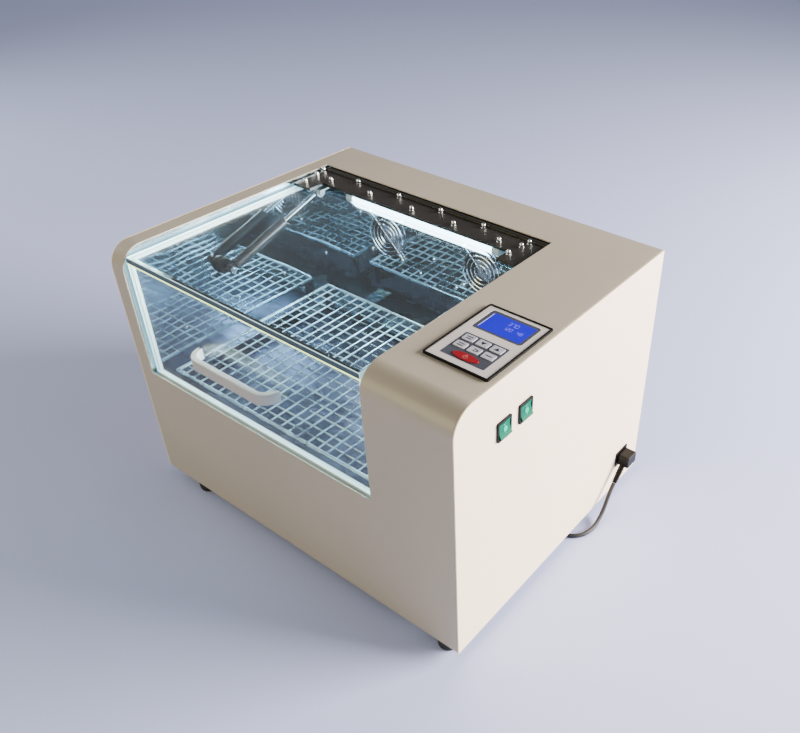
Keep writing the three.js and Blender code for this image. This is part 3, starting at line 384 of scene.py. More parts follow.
def grain_group():
    """Wide waves and a fine grain as bumps, and slow mottling as a mask."""
    tree, given, out = new_group(
        "grain_and_mottle", {"Grain Scale": 900, "Grain Depth": 0.00002, "Wave Scale": 10,
                             "Wave Depth": 0, "Mottle Scale": 12},
        {"Mottle": "NodeSocketFloat", "Normal": "NodeSocketVector"})
    waves = noise(tree, given["Wave Scale"], 0.8)
    swell = linked(tree, "Bump", {"Height": waves, "Distance": given["Wave Depth"]})
    bump = linked(tree, "Bump", {
        "Height": noise(tree, given["Grain Scale"], 3.0), "Distance": given["Grain Depth"],
        "Normal": swell.outputs["Normal"]})
    spread = ramp(tree, noise(tree, given["Mottle Scale"], 4.0), 0.3, 0.7)
    tree.links.new(spread, out.inputs["Mottle"])
    tree.links.new(bump.outputs["Normal"], out.inputs["Normal"])
    return tree


def speck_group():
    """Dust: pale specks and a thin film, thickest on what faces up."""
    tree, given, out = new_group(
        "dust_specks", {"Speck Scale": 300, "Speck Size": 0.12, "Film": 0.05}, {"Dust": "NodeSocketFloat"})
    surface = tree.nodes.new("ShaderNodeNewGeometry")
    facing = linked(tree, "SeparateXYZ", {"Vector": surface.outputs["Normal"]})
    cells = linked(tree, "TexVoronoi", {"Vector": where_on(tree), "Scale": given["Speck Scale"]})
    drift = noise(tree, 9.0, 2.0)

    def maths(operation, first, second):
        return linked(tree, "Math", {0: first, 1: second}, operation=operation).outputs["Value"]

    speck = maths("LESS_THAN", cells.outputs["Distance"], given["Speck Size"])
    specks = maths("MULTIPLY", speck, ramp(tree, drift, 0.52, 0.62))
    both = maths("MAXIMUM", specks, maths("MULTIPLY", drift, given["Film"]))
    dust = maths("MULTIPLY", both, ramp(tree, facing.outputs["Z"], 0.4, 0.95))
    tree.links.new(dust, out.inputs["Dust"])
    return tree


GRAIN = grain_group()
SPECKS = speck_group()


def shaded(tree, mask, color, shares):
    """A colour that goes from one share of itself to another over the mask."""
    low, high = ([min(1, part * share) for part in color] + [1] for share in shares)
    return linked(tree, "Mix", {0: mask, 6: low, 7: high}, data_type="RGBA").outputs[2]


def blank(name):
    material = bpy.data.materials.new(name)
    material.use_nodes = True
    return material, material.node_tree, material.node_tree.nodes["Principled BSDF"]


def set_sockets(shader, **sockets):
    for socket, value in sockets.items():
        shader.inputs[socket.replace("_", " ")].default_value = value


def finish(name, color, roughness, metallic=0.0, grain=(900, 0.02), waves=(10, 0),
           mottle=(12, 0.06, 0.05), dust=None, **sockets):
    """A finish with waves and grain, each a scale and a depth in millimetres, mottling and dust."""
    material, tree, shader = blank(name)
    mottle_scale, tone, gloss = mottle
    texture = linked(tree, "Group", {
        "Grain Scale": grain[0], "Grain Depth": grain[1] * MM, "Wave Scale": waves[0],
        "Wave Depth": waves[1] * MM, "Mottle Scale": mottle_scale}, node_tree=GRAIN)
    mask = texture.outputs["Mottle"]
    base = shaded(tree, mask, color, (1 - tone, 1 + tone))
    rough = linked(tree, "MapRange", {
        "Value": mask, "To Min": max(0.01, roughness - gloss), "To Max": roughness + gloss}).outputs["Result"]
    if dust:
        named = dict(zip(("Speck Scale", "Speck Size", "Film"), dust))
        specks = linked(tree, "Group", named, node_tree=SPECKS).outputs["Dust"]
        base = linked(
            tree, "Mix", {0: specks, 6: base, 7: (0.8, 0.78, 0.74, 1)}, data_type="RGBA").outputs[2]
        rough = linked(tree, "Mix", {0: specks, 2: rough, 3: 0.9}).outputs[0]
    tree.links.new(base, shader.inputs["Base Color"])
    tree.links.new(rough, shader.inputs["Roughness"])
    tree.links.new(texture.outputs["Normal"], shader.inputs["Normal"])
    set_sockets(shader, Metallic=metallic, **sockets)
    return material


def glowing(name, color, strength, base, roughness=0.3, **sockets):
    """A lit surface, a little uneven."""
    material = finish(name, base, roughness, **sockets)
    tree = material.node_tree
    shader = tree.nodes["Principled BSDF"]
    texture = next(node for node in tree.nodes if node.type == "GROUP")
    glow = shaded(tree, texture.outputs["Mottle"], color, (0.9, 1))
    tree.links.new(glow, shader.inputs["Emission Color"])
    set_sockets(shader, Emission_Strength=strength)
    return material


def clear_sheet(name, color):
    """Clear acrylic that lets light through to what it covers."""
    material, tree, shader = blank(name)
    set_sockets(shader, Base_Color=(*color, 1), Roughness=0.0, IOR=1.49, Transmission_Weight=1.0,
                Specular_IOR_Level=0.1)
    path = tree.nodes.new("ShaderNodeLightPath")
    open_way = linked(tree, "BsdfTransparent", {"Color": (*color, 1)})
    mix = linked(tree, "MixShader", {
        0: path.outputs["Is Shadow Ray"], 1: shader.outputs[0], 2: open_way.outputs[0]})
    tree.links.new(mix.outputs[0], tree.nodes["Material Output"].inputs["Surface"])
    return material


# The wrap's beige is darker and the sides' cream much lighter than the case's paint. Part of the gap is the
# case's own two tones, and the rest is painted shade on the wrap and painted light on the sides, where the
# key light falls from the right.
beige_paint_shaded = finish(
    "beige_paint_shaded", (0.40, 0.35, 0.285), 0.42, grain=(1400, 0.01), mottle=(5, 0.03, 0.05),
    dust=(260, 0.09, 0.06), Coat_Weight=0.15)
cream_paint_lit = finish(
    "cream_paint_lit", (0.90, 0.72, 0.53), 0.45, grain=(1400, 0.01), mottle=(4, 0.02, 0.05), Coat_Weight=0.1)
black_rubber = finish("black_rubber", (0.012, 0.012, 0.012), 0.8, grain=(1800, 0.04))
chamber_steel = finish(
    "chamber_steel", (0.46, 0.58, 0.66), 0.03, 1.0, grain=(160, 0.003), waves=(8, 1.8),
    mottle=(6, 0.15, 0.015), Coat_Weight=0.35, Coat_Roughness=0.3, Coat_IOR=1.5)
ledge_steel = finish(
    "ledge_steel", (0.60, 0.72, 0.80), 0.2, 1.0, grain=(300, 0.02), waves=(24, 0.4),
    mottle=(14, 0.1, 0.06))
tray_steel = finish(
    "tray_steel", (0.05, 0.055, 0.085), 0.27, 1.0, grain=(160, 0.01), waves=(12, 3),
    mottle=(9, 0.5, 0.06))
spring_steel = finish(
    "spring_steel", (0.48, 0.62, 0.66), 0.28, 1.0, grain=(900, 0.02), mottle=(22, 0.2, 0.1))
chrome = finish("chrome", (0.80, 0.83, 0.85), 0.1, 1.0, grain=(400, 0.01), mottle=(30, 0.08, 0.04))
cast_metal = finish("cast_metal", (0.35, 0.36, 0.37), 0.5, 1.0, grain=(600, 0.08), mottle=(20, 0.15, 0.1))
seal_white = finish("seal_white", (0.72, 0.80, 0.80), 0.5, grain=(700, 0.03), mottle=(18, 0.06, 0.08))
black_plastic = finish(
    "black_plastic", (0.003, 0.003, 0.0035), 0.45, grain=(1600, 0.03), mottle=(25, 0.15, 0.08),
    Specular_IOR_Level=0.15)
black_enamel = finish(
    "black_enamel", (0.013, 0.011, 0.010), 0.42, grain=(1200, 0.02), mottle=(20, 0.2, 0.08),
    dust=(500, 0.08, 0.02), Specular_IOR_Level=0.3)
strut_black = finish(
    "strut_black", (0.03, 0.032, 0.036), 0.22, 0.5, grain=(900, 0.01), mottle=(30, 0.2, 0.05))
pale_plastic = finish("pale_plastic", (0.43, 0.42, 0.42), 0.35, grain=(1500, 0.02), mottle=(14, 0.04, 0.05))
face_plastic = finish("face_plastic", (0.60, 0.555, 0.555), 0.4, grain=(1700, 0.02), mottle=(20, 0.03, 0.05))
slate_plastic = finish(
    "slate_plastic", (0.055, 0.06, 0.085), 0.45, grain=(1700, 0.02), mottle=(24, 0.08, 0.05),
    Specular_IOR_Level=0.3)
key_plastic = finish("key_plastic", (0.42, 0.42, 0.50), 0.42, grain=(1700, 0.02), mottle=(60, 0.05, 0.05))
key_print = finish("key_print", (0.02, 0.022, 0.04), 0.5, mottle=(60, 0.1, 0.05), Specular_IOR_Level=0.2)
red_plastic = finish(
    "red_plastic", (0.25, 0.004, 0.012), 0.4, grain=(1500, 0.02), mottle=(60, 0.1, 0.05),
    Specular_IOR_Level=0.3)
red_print = finish("red_print", (0.50, 0.14, 0.14), 0.5, mottle=(60, 0.1, 0.05))
green_lens = glowing("green_lens", (0.0, 0.6, 0.36), 0.05, (0.0, 0.10, 0.06), 0.4, Specular_IOR_Level=0.03)
green_spot = glowing("green_spot", (0.02, 1.0, 0.62), 0.4, (0.0, 0.28, 0.17), 0.4, Specular_IOR_Level=0.03)
white_print = finish("white_print", (0.16, 0.42, 0.34), 0.5, mottle=(60, 0.05, 0.05))
screen_blue = glowing(
    "screen_blue", (0.03, 0.0, 1.0), 0.8, (0.002, 0.002, 0.1), 0.25, Specular_IOR_Level=0.1)
screen_digit = glowing("screen_digit", (0.20, 0.16, 1.0), 1.3, (0.02, 0.02, 0.3), 0.3)
screen_glare = glowing("screen_glare", (0.5, 0.5, 1.0), 0.5, (0.4, 0.4, 0.7), 0.3)
lamp_glow = glowing("lamp_glow", (0.55, 0.83, 1.0), 30.0, (0.9, 0.95, 1.0), 0.3)
board_green = finish("board_green", (0.012, 0.10, 0.04), 0.45, grain=(800, 0.05), mottle=(60, 0.2, 0.1))
cord_rubber = finish("cord_rubber", (0.010, 0.010, 0.011), 0.55, grain=(1500, 0.04), mottle=(40, 0.2, 0.08))
brass = finish("brass", (0.70, 0.52, 0.24), 0.25, 1.0, grain=(500, 0.02), mottle=(60, 0.1, 0.08))
acrylic = clear_sheet("acrylic", (0.95, 0.99, 0.99))
# Painted light: the pane's edges glow by emission, standing in for the lamp's light carried in the acrylic.
acrylic_edge_painted_glow = glowing("acrylic_edge_painted_glow", (0.60, 0.93, 1.0), 0.7, (0.55, 0.80, 0.85), 0.3)
# Painted light: an opaque face with a faint teal glow, standing in for the lit chamber seen through the
# pane's edge.
acrylic_band_painted_light = glowing("acrylic_band_painted_light", (0.30, 0.55, 0.80), 0.05, (0.03, 0.05, 0.06), 0.2)
# Painted light: the glue line glows bright yellow-green, a painted highlight along the lid's crease.
glue_line_painted_glow = glowing("glue_line_painted_glow", (0.85, 1.0, 0.35), 3.6, (0.5, 0.6, 0.3), 0.3)

# Mains lead: out of the connector's strain relief, along the bench, and wound up behind the case

INLET_Y, INLET_Z = 187, 61
CORD_RADIUS = 3.5
FEET = 18
LIE = 3.6
ROUTE = [(RIGHT + out, INLET_Y + along, up - FEET) for out, along, up in (
    (12.6, -37, 49.7), (12.9, -45, 42.2), (13.7, -53, 34.7), (14.8, -61, 27.2), (15.9, -69, 19.7),
    (16.8, -77.2, 13.3), (17.5, -86.5, 8.4), (18, -96.4, 5.1),
    (17.4, -109, LIE), (12.6, -127, LIE), (-2, -141.6, LIE), (-22, -147, LIE),
    (-42, -141.6, LIE), (-56.6, -127, LIE), (-62, -107, LIE), (-62, -77, LIE), (-62, -42, LIE),
    (-62, -7, LIE), (-62, 28, LIE), (-62, 63, LIE), (-62, 98, LIE), (-62, 125, LIE))]
COIL_OUTER, COIL_LEAD, COIL_PITCH, COIL_LIFT = 50, 8, 8.8, 8
TURNS_IN, TURNS_TURN, COIL_STEPS = 2.375, 0.5, 24
TAIL_LONG, TAIL_DROP, TAIL_STEPS = 78.6, 60, 12


def eased(share):
    share = max(0.0, min(1.0, share))
    return share * share * (3 - 2 * share)


def blend(near, far, start, end, t):
    return (near * (end - t) + far * (t - start)) / (end - start)


def through(points, steps=5):
    """Points on a smooth curve through these points, kept above the bench."""
    path = []
    held = [points[0] * 2 - points[1], *points, points[-1] * 2 - points[-2]]
    for p0, p1, p2, p3 in zip(held, held[1:], held[2:], held[3:]):
        knots = [0.0]
        for near, far in ((p0, p1), (p1, p2), (p2, p3)):
            knots.append(knots[-1] + math.sqrt((far - near).length))
        for step in range(steps):
            t = knots[1] + (knots[2] - knots[1]) * step / steps
            level = [blend(near, far, knots[i], knots[i + 1], t)
                     for i, (near, far) in enumerate(((p0, p1), (p1, p2), (p2, p3)))]
            level = [blend(level[i], level[i + 1], knots[i], knots[i + 2], t) for i in range(2)]
            path.append(blend(*level, knots[1], knots[2], t))
    bench = place(0, 0, LIE - FEET).z
    return [Vector((x, y, max(z, bench))) for x, y, z in (*path, points[-1])]


def cord_path():
    lead = through([place(*point) for point in ROUTE])
    low = LIE - FEET
    centre_x, centre_y = ROUTE[-1][0] - COIL_OUTER, ROUTE[-1][1] + COIL_LEAD
    turns = 2 * TURNS_IN + TURNS_TURN
    wound = [place(ROUTE[-1][0], centre_y, low)]
    count = round(turns * COIL_STEPS)
    for i in range(1, count + 1):
        turned = turns * i / count
        inward = max(0, min(turned, TURNS_IN, turns - turned))
        radius = COIL_OUTER - COIL_PITCH * inward
        rise = COIL_LIFT * eased((turned - TURNS_IN) / TURNS_TURN)
        angle = math.tau * turned
        x, y = centre_x + radius * math.cos(angle), centre_y + radius * math.sin(angle)
        wound.append(place(x, y, low + rise))
    last = wound[-1]
    for i in range(1, TAIL_STEPS + 1):
        run = TAIL_LONG * i / TAIL_STEPS
        wound.append(last + Vector((-run, 0, -COIL_LIFT * eased(run / TAIL_DROP))) * MM)
    return lead + wound


def mains_lead():
    path = cord_path()
    line = bpy.data.curves.new("mains_lead", "CURVE")
    line.dimensions = "3D"
    spline = line.splines.new("POLY")
    spline.points.add(len(path) - 1)
    for point, at in zip(spline.points, path):
        point.co = (*at, 1)
    line.bevel_depth = CORD_RADIUS * MM
    line.bevel_resolution = 4
    line.use_fill_caps = True
    piece = shown("mains_lead", line)
    line.materials.append(cord_rubber)
    spline.use_smooth = True
    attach(piece, "housing")
    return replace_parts(piece, "power_cord", "cord_coil")


def lead_connector():
    """The angled connector with its grips and ribbed strain relief."""
    x0 = RIGHT + 2 * SEAM + 2
    out, wide, tall = 20, 28, 22
    body = slab("connector_body", (x0, x0 + out), around(INLET_Y, wide), around(INLET_Z, tall))
    round_edges(body, X_WAY, 4.5, 6)
    soften(body, 1.8, 3, 60)
    grips = [slab("grip", around(x0 + 5 + 4 * i, 1.8), around(INLET_Y, wide + 0.8), around(INLET_Z, 13), 0.5)
             for i in range(4)]
    nose = slab("connector_nose", (x0 - 14, x0 + 3), around(INLET_Y, 23.4), around(INLET_Z, 16.4), 0.8)
    start, end = Vector((RIGHT + 12.6, INLET_Y - 11, 74 - FEET)), Vector(ROUTE[0])
    relief = [bar("relief", start, start.lerp(end, 0.99), 4.7, 3.9, 24, 0.3)]
    for i in range(6):
        share = 0.24 + 0.12 * i
        radius = 5.6 - 1.1 * share
        near, far = start.lerp(end, share), start.lerp(end, share + 0.06)
        relief.append(bar("relief_rib", near, far, radius, radius - 0.05, 24, 0.5))
    return dress(joined("lead_connector", [body, nose, *grips, *relief]), "black_plastic",
                 black_plastic, node="cord_connector")


def lead_plug():
    """The plug on the bench: a grip with ribs, a neck, and bare pins."""
    across, along, _ = spans("mains_plug")
    neck_end, y = across[1], middle(along)
    body_end, body_start = neck_end - 16, neck_end - 50
    body = slab("plug_body", (body_start, body_end), around(y, 34), (-FEET, 20 - FEET))
    round_edges(body, X_WAY, 5, 6)
    soften(body, 1.6, 3, 60)
    ribs = [slab("plug_rib", (body_start + 10 + 4 * i, body_start + 12 + 4 * i), around(y, 33.6),
                 (4 - FEET, 20 - FEET), 0.5) for i in range(5)]
    neck_z = 5 - FEET
    neck = [bar("plug_neck", (body_end - 2, y, neck_z), (neck_end, y, neck_z - 0.3), 4.6, 3.8, 24, 0.3)]
    neck += [bar("neck_rib", (body_end + 2 + 3 * i, y, neck_z), (body_end + 3.4 + 3 * i, y, neck_z),
                 4.9 - 0.15 * i, sides=24, soft=0.3) for i in range(4)]
    plug = dress(joined("lead_plug", [body, *ribs, *neck]), "black_plastic", black_plastic,
                 node="mains_plug")
    pins, pin_z = [], 10 - FEET
    for side in (-6.35, 6.35):
        pin = slab("pin", (body_start - 16, body_start + 2), around(y + side, 1.6), around(pin_z, 6.3), 0.35)
        ends = [(body_start - 12, y + side + out, pin_z) for out in (-3, 3)]
        pins.append(carved(pin, [bar("hole", *ends, 1.5)]))
    earth_z = pin_z + 6.3
    earth = level("earth_pin", (body_start - 16, body_start + 2), y, earth_z, 2.4, soft=0.8)
    return plug, dress(joined("lead_pins", [*pins, earth]), "black_plastic", brass)


lead = mains_lead()
connector = lead_connector()
plug, pins = lead_plug()

# Case


PANEL_WIDE, PANEL_LONG, PANEL_HIGH = spans("panel_bezel")
PANEL_HOLE = [grown(span, -8) for span in (PANEL_WIDE, PANEL_LONG)]


def case_wrap():
    """One bent sheet: a block rounded at its front edge, opened and given a wall."""
    wrap = slab("wrap_sheet", (LEFT + SHEET + SEAM, RIGHT - SHEET - SEAM), (FRONT, BACK), (0, TOP))
    round_edges(wrap, front_top, CORNER, 32)
    drop(wrap, lambda at, way: X_WAY(at, way) or way.y > 0.9 or way.z < -0.9)
    cuts = ((OPEN_LEFT, OPEN_RIGHT, *PANEL_HOLE[0]), (OPEN_BACK, *PANEL_HOLE[1]), (APRON,))
    for axis, spots in enumerate(cuts):
        for spot in spots:
            score(wrap, axis, spot)
    drop(wrap, lambda at, way: OPEN_LEFT < at.x < OPEN_RIGHT and at.y < OPEN_BACK and at.z > APRON)
    drop(wrap, lambda at, way: inside(at.x, PANEL_HOLE[0]) and inside(at.y, PANEL_HOLE[1]) and at.z > TOP - 1)
    modify(wrap, "SOLIDIFY", thickness=SHEET * MM, offset=-1, use_even_offset=True)
    soften(wrap, 0.95, 3, 40)
    return dress(wrap, "case_paint", beige_paint_shaded, node="case_wrap")


def side_sheet(name, x0):
    side = slab(name, (x0, x0 + SHEET), (FRONT, BACK), (0, TOP))
    return round_edges(side, front_top, CORNER, 32)


SWITCHES = {side: spans(f"switch_housing_{side}") for side in ("front", "rear")}
LIP = 1.4


def side_panels():
    plain = soften(side_sheet("side_sheet_left", LEFT), 0.7, 2, 40)
    dress(plain, "side_paint", cream_paint_lit, node="side_panel_left")
    side = side_sheet("side_sheet_right", RIGHT - SHEET)
    through_wall = (RIGHT - 12, RIGHT + 12)
    cuts = [slab("cut", through_wall, grown(along, SEAM - LIP), grown(up, SEAM - LIP))
            for _, along, up in SWITCHES.values()]
    cuts.append(slab("cut", through_wall, around(INLET_Y, 29), around(INLET_Z, 23)))
    carved(side, cuts)
    soften(side, 0.7, 2, 40)
    dress(side, "side_paint", cream_paint_lit, node="side_panel_right")


def rear_sheet():
    """The rear plate with its vents and screws."""
    edge = SHEET + SEAM
    plate = slab("rear_sheet", (LEFT + edge, RIGHT - edge), (BACK - SHEET, BACK), (0, TOP - edge))
    slots = []
    for i in range(8):
        slot = slab("slot", around(208 + 12 * i, 4), (BACK - 8, BACK + 8), around(70, 60))
        slots.append(round_edges(slot, Y_WAY, 1.9, 4))
    carved(plate, slots)
    soften(plate, 0.5, 2, 40)
    dress(plate, "case_paint", beige_paint_shaded, node="rear_panel")
    spots = [(x, z) for x in (-300, -100, 100, 300) for z in (14, 404)] + [(x, 210) for x in (-300, 300)]
    heads = []
    for x, z in spots:
        head = dome("rear_screw", (x, BACK - 0.1, z), 4.2, 1.8, (0, 1, 0))
        heads.append(carved(head, [slab("slot", around(x, 5), (BACK + 1, BACK + 4), around(z, 0.9))]))
    dress(joined("rear_screws", heads), "bright_chrome", chrome)


def feet():
    """Rubber feet, narrower at the tread, with a screw's recess."""
    for corner in ("front_left", "front_right", "rear_left", "rear_right"):
        across, along, up = spans(f"foot_{corner}")
        x, y, radius = middle(across), middle(along), size(across) / 2
        foot = bar(f"foot_{corner}_pad", (x, y, up[0]), (x, y, up[1]), radius - 1.2, radius, 48)
        round_edges(foot, lambda at, way: at.z < up[0] + 1 and abs(way.z) < 0.1, 2, 4)
        carved(foot, [bar("recess", (x, y, up[0] - 3), (x, y, up[0] + 5), 6)])
        smooth(foot)
        dress(foot, "foot_rubber", black_rubber, node=f"foot_{corner}")


case_wrap()
side_panels()
rear_sheet()
feet()

# Chamber


def chamber_screws():
    heads = []
    for x, z in ((-232, 338), (-112, 345), (-96, 262), (-16, 262), (-64, 300), (110, 268), (150, 300)):
        heads.append(dome("wall_screw", (x, WALL_BACK - 0.05, z), 3, 2, (0, -1, 0)))
    for y, z in ((40, 250), (-60, 250), (-160, 250), (140, 250)):
        heads.append(dome("wall_screw", (WALL_LEFT + 0.05, y, z), 3, 2, (1, 0, 0)))
    dress(joined("chamber_screws", heads), "bright_chrome", chrome)


LAMP = spans("lamp_tube")
(LAMP_LEFT, LAMP_RIGHT), LAMP_Y, LAMP_Z = LAMP[0], middle(LAMP[1]), middle(LAMP[2])


def lamp():
    tube = level("lamp_glass_tube", LAMP[0], LAMP_Y, LAMP_Z, 8, sides=40, soft=1.5)
    dress(tube, "lamp_glass", lamp_glow, node="lamp_tube")
    batten = slab("batten", (LAMP_LEFT - 14, LAMP_RIGHT + 14), (167.3, 172.1), around(LAMP_Z, 16), 0.8)
    holders = []
    for x0 in (LAMP_LEFT - SEAM - 14, LAMP_RIGHT + SEAM):
        holders.append(level("lamp_socket", (x0, x0 + 14), LAMP_Y, LAMP_Z, 9.7, sides=36, soft=1.2))
        holders.append(slab("socket_stem", (x0 + 1, x0 + 13), (LAMP_Y, 169), around(LAMP_Z, 14), 1.0))
    dress(joined("lamp_fitting", [batten, *holders]), "light_plastic", pale_plastic, node="lamp_holder")


FANS = {"left": -168, "right": 40}
GUARD_Y, FAN_Z, LUG_PITCH = 168, 313, 71.5


def fan_guard(side, x):
    """Chrome rings on a spoke, on four lugs with screws."""
    half, inner = LUG_PITCH / 2, 26
    parts = [ring("guard_ring", (x, GUARD_Y, FAN_Z), radius, 1.1) for radius in (37, 29, 21, 13)]
    spokes = (-half, half, half, -half), (-inner, -inner, -half, -half), (inner, inner, half, half)
    for x0, z0, x1, z1 in spokes:
        ends = [(x + dx, GUARD_Y + 1.6, FAN_Z + dz) for dx, dz in ((x0, z0), (x1, z1))]
        parts.append(bar("guard_spoke", *ends, 1.1, sides=12))
    for lug_x in (x - half, x + half):
        for lug_z in (FAN_Z - half, FAN_Z + half):
            ends = [(lug_x, y, lug_z) for y in (172.3, GUARD_Y - 1)]
            parts.append(bar("guard_lug", *ends, 4, sides=24, soft=0.5))
            parts.append(dome("lug_screw", (lug_x, GUARD_Y - 0.9, lug_z), 3.2, 1.6, (0, -1, 0)))
    dress(joined(f"fan_rings_{side}", parts), "bright_chrome", chrome, node=f"fan_guard_{side}")


chamber_screws()
lamp()
for fan_side, fan_x in FANS.items():
    fan_guard(fan_side, fan_x)

# Lid


def lid_panes():
    """Two glued sheets, whose polished edges, front face and glue line are painted to glow: painted light for
    the lamp's light the acrylic carries.
    """
    wide = (PANE_LEFT, PANE_RIGHT)
    joint = PANE_TOP - PANE_THICK
    top = slab("lid_sheet_top", wide, (PANE_FRONT, PANE_BACK), (joint, PANE_TOP))
    round_edges(top, lambda at, way: Y_WAY(at, way) and at.z > PANE_TOP - 1, BEVEL, 2)
    soften(top, 0.9)
    front = slab("lid_sheet_front", wide, (PANE_FRONT, PANE_FRONT + PANE_THICK), (PANE_LOW, joint - 0.05))
    round_edges(front, lambda at, way: Z_WAY(at, way) and at.y < PANE_FRONT + 1, BEVEL, 2)
    soften(front, 0.4)
    for sheet in (top, front):
        dress(sheet, "clear_acrylic", acrylic, acrylic_edge_painted_glow, acrylic_band_painted_light, body="lid")
        # Painted light: side edges, front bevels, the back face and the lower edge get the glowing edge
        # finish.
        paint_faces(sheet, 1, lambda at, way: abs(way.x) > 0.3)
    paint_faces(top, 1, lambda at, way: way.y > 0.7 or at.y < PANE_FRONT + 2.3 and 0.2 < way.z < 0.98)
    # Painted light: the top sheet's front face takes the faintly glowing band finish.
    paint_faces(top, 2, lambda at, way: way.y < -0.97)
    paint_faces(front, 1, lambda at, way: way.z < -0.7)
    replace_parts(top, "lid_pane")
    # Painted light: a glowing strip along the joint, standing in for light along the glued crease.
    glue = slab("lid_glue", wide, (PANE_FRONT - 0.03, PANE_FRONT + 1), around(joint, 2.2), 0.3)
    dress(glue, "clear_acrylic", glue_line_painted_glow, body="lid")


HINGE_Y, HINGE_Z = 156, 414.5
STRIP_LOW = PANE_TOP + SEAM


def barrel(name, number, web_to):
    step = (PANE_RIGHT - PANE_LEFT) / 9
    x0, x1 = PANE_LEFT + step * number + SEAM, PANE_LEFT + step * (number + 1) - SEAM
    return [level(name, (x0, x1), HINGE_Y, HINGE_Z, 4, soft=0.3),
            slab(name, (x0, x1), sorted((HINGE_Y, web_to)), (HINGE_Z - 3, HINGE_Z), 0.2)]


def hinge():
    strip = slab("hinge_plate", (PANE_LEFT, PANE_RIGHT), (111, 151.5), (STRIP_LOW, HINGE_Z))
    tabs = [slab("tab", span, (81, 116), (STRIP_LOW, HINGE_Z)) for span in (
        (PANE_LEFT, PANE_LEFT + 38), (PANE_RIGHT - 38, PANE_RIGHT))]
    carved(strip, tabs, "UNION")
    soften(strip, 0.8, 3, 40)
    moving = [part for i in range(0, 9, 2) for part in barrel("strip_barrel", i, 148)]
    dress(joined("hinge_plate", [strip, *moving]), "black_plastic", black_enamel,
          node="hinge_strip", body="lid")
    leaf = slab("hinge_leaf", (PANE_LEFT, PANE_RIGHT), (160.5, 162.7), (396, HINGE_Z), 0.3)
    fixed = [part for i in range(1, 9, 2) for part in barrel("leaf_barrel", i, 161)]
    pin = level("pin", (PANE_LEFT, PANE_RIGHT), HINGE_Y, HINGE_Z, 1.6, sides=16, soft=0.3)
    dress(joined("hinge_leaf", [leaf, *fixed, pin]), "black_plastic", black_enamel, node="hinge_fixed_leaf")
    nuts = []
    spots = [(x, 147.3) for x in (-285.7, -203.3, -112.4, -24.2, 61.1, 147.1)]
    spots += [(x, 125) for x in (-245.4, -156.1, -65.6, 19.9, 107)]
    spots += [(-275.7, 95.7), (-280.5, 126.5), (141.5, 102), (144, 131)]
    for x, y in spots:
        for name, low, high, radius, sides, soft in (
                ("nut_washer", -0.1, 0.7, 4.1, 28, 0.2), ("nut", 0.6, 3.6, 3.9, 6, 0.4),
                ("nut_neck", 3.4, 4.6, 3.3, 28, 0)):
            ends = [(x, y, HINGE_Z + rise) for rise in (low, high)]
            nuts.append(bar(name, *ends, radius, sides=sides, soft=soft))
        nuts.append(dome("nut_dome", (x, y, HINGE_Z + 4.5), 3.3, 3.2))
    dress(joined("hinge_nuts", nuts), "bright_chrome", chrome, body="lid")


def bow_handle():
    across, along, up = spans("lid_handle")
    thick, corner = 9, 26.5
    y0 = along[0]
    bow = slab("bow_handle", across, along, up)
    round_edges(bow, lambda at, way: Z_WAY(at, way) and at.y < y0 + 1, corner, 24)
    hollow = slab("hollow", grown(across, -thick), (y0 + thick, along[1] + 20), grown(up, 5))
    round_edges(hollow, lambda at, way: Z_WAY(at, way) and at.y < y0 + thick + 1, corner - thick, 20)
    carved(bow, [hollow])
    soften(bow, 1.5, 3, 50, clamp=False)
    dress(bow, "light_plastic", pale_plastic, node="lid_handle", body="lid")


STRUT_X = middle(spans("strut_rod")[0])
STRUT_FOOT, STRUT_HEAD = Vector((STRUT_X, -80, 321)), Vector((STRUT_X, 118, 385))
STRUT_LONG = (STRUT_HEAD - STRUT_FOOT).length


def on_strut(along):
    return STRUT_FOOT.lerp(STRUT_HEAD, along / STRUT_LONG)


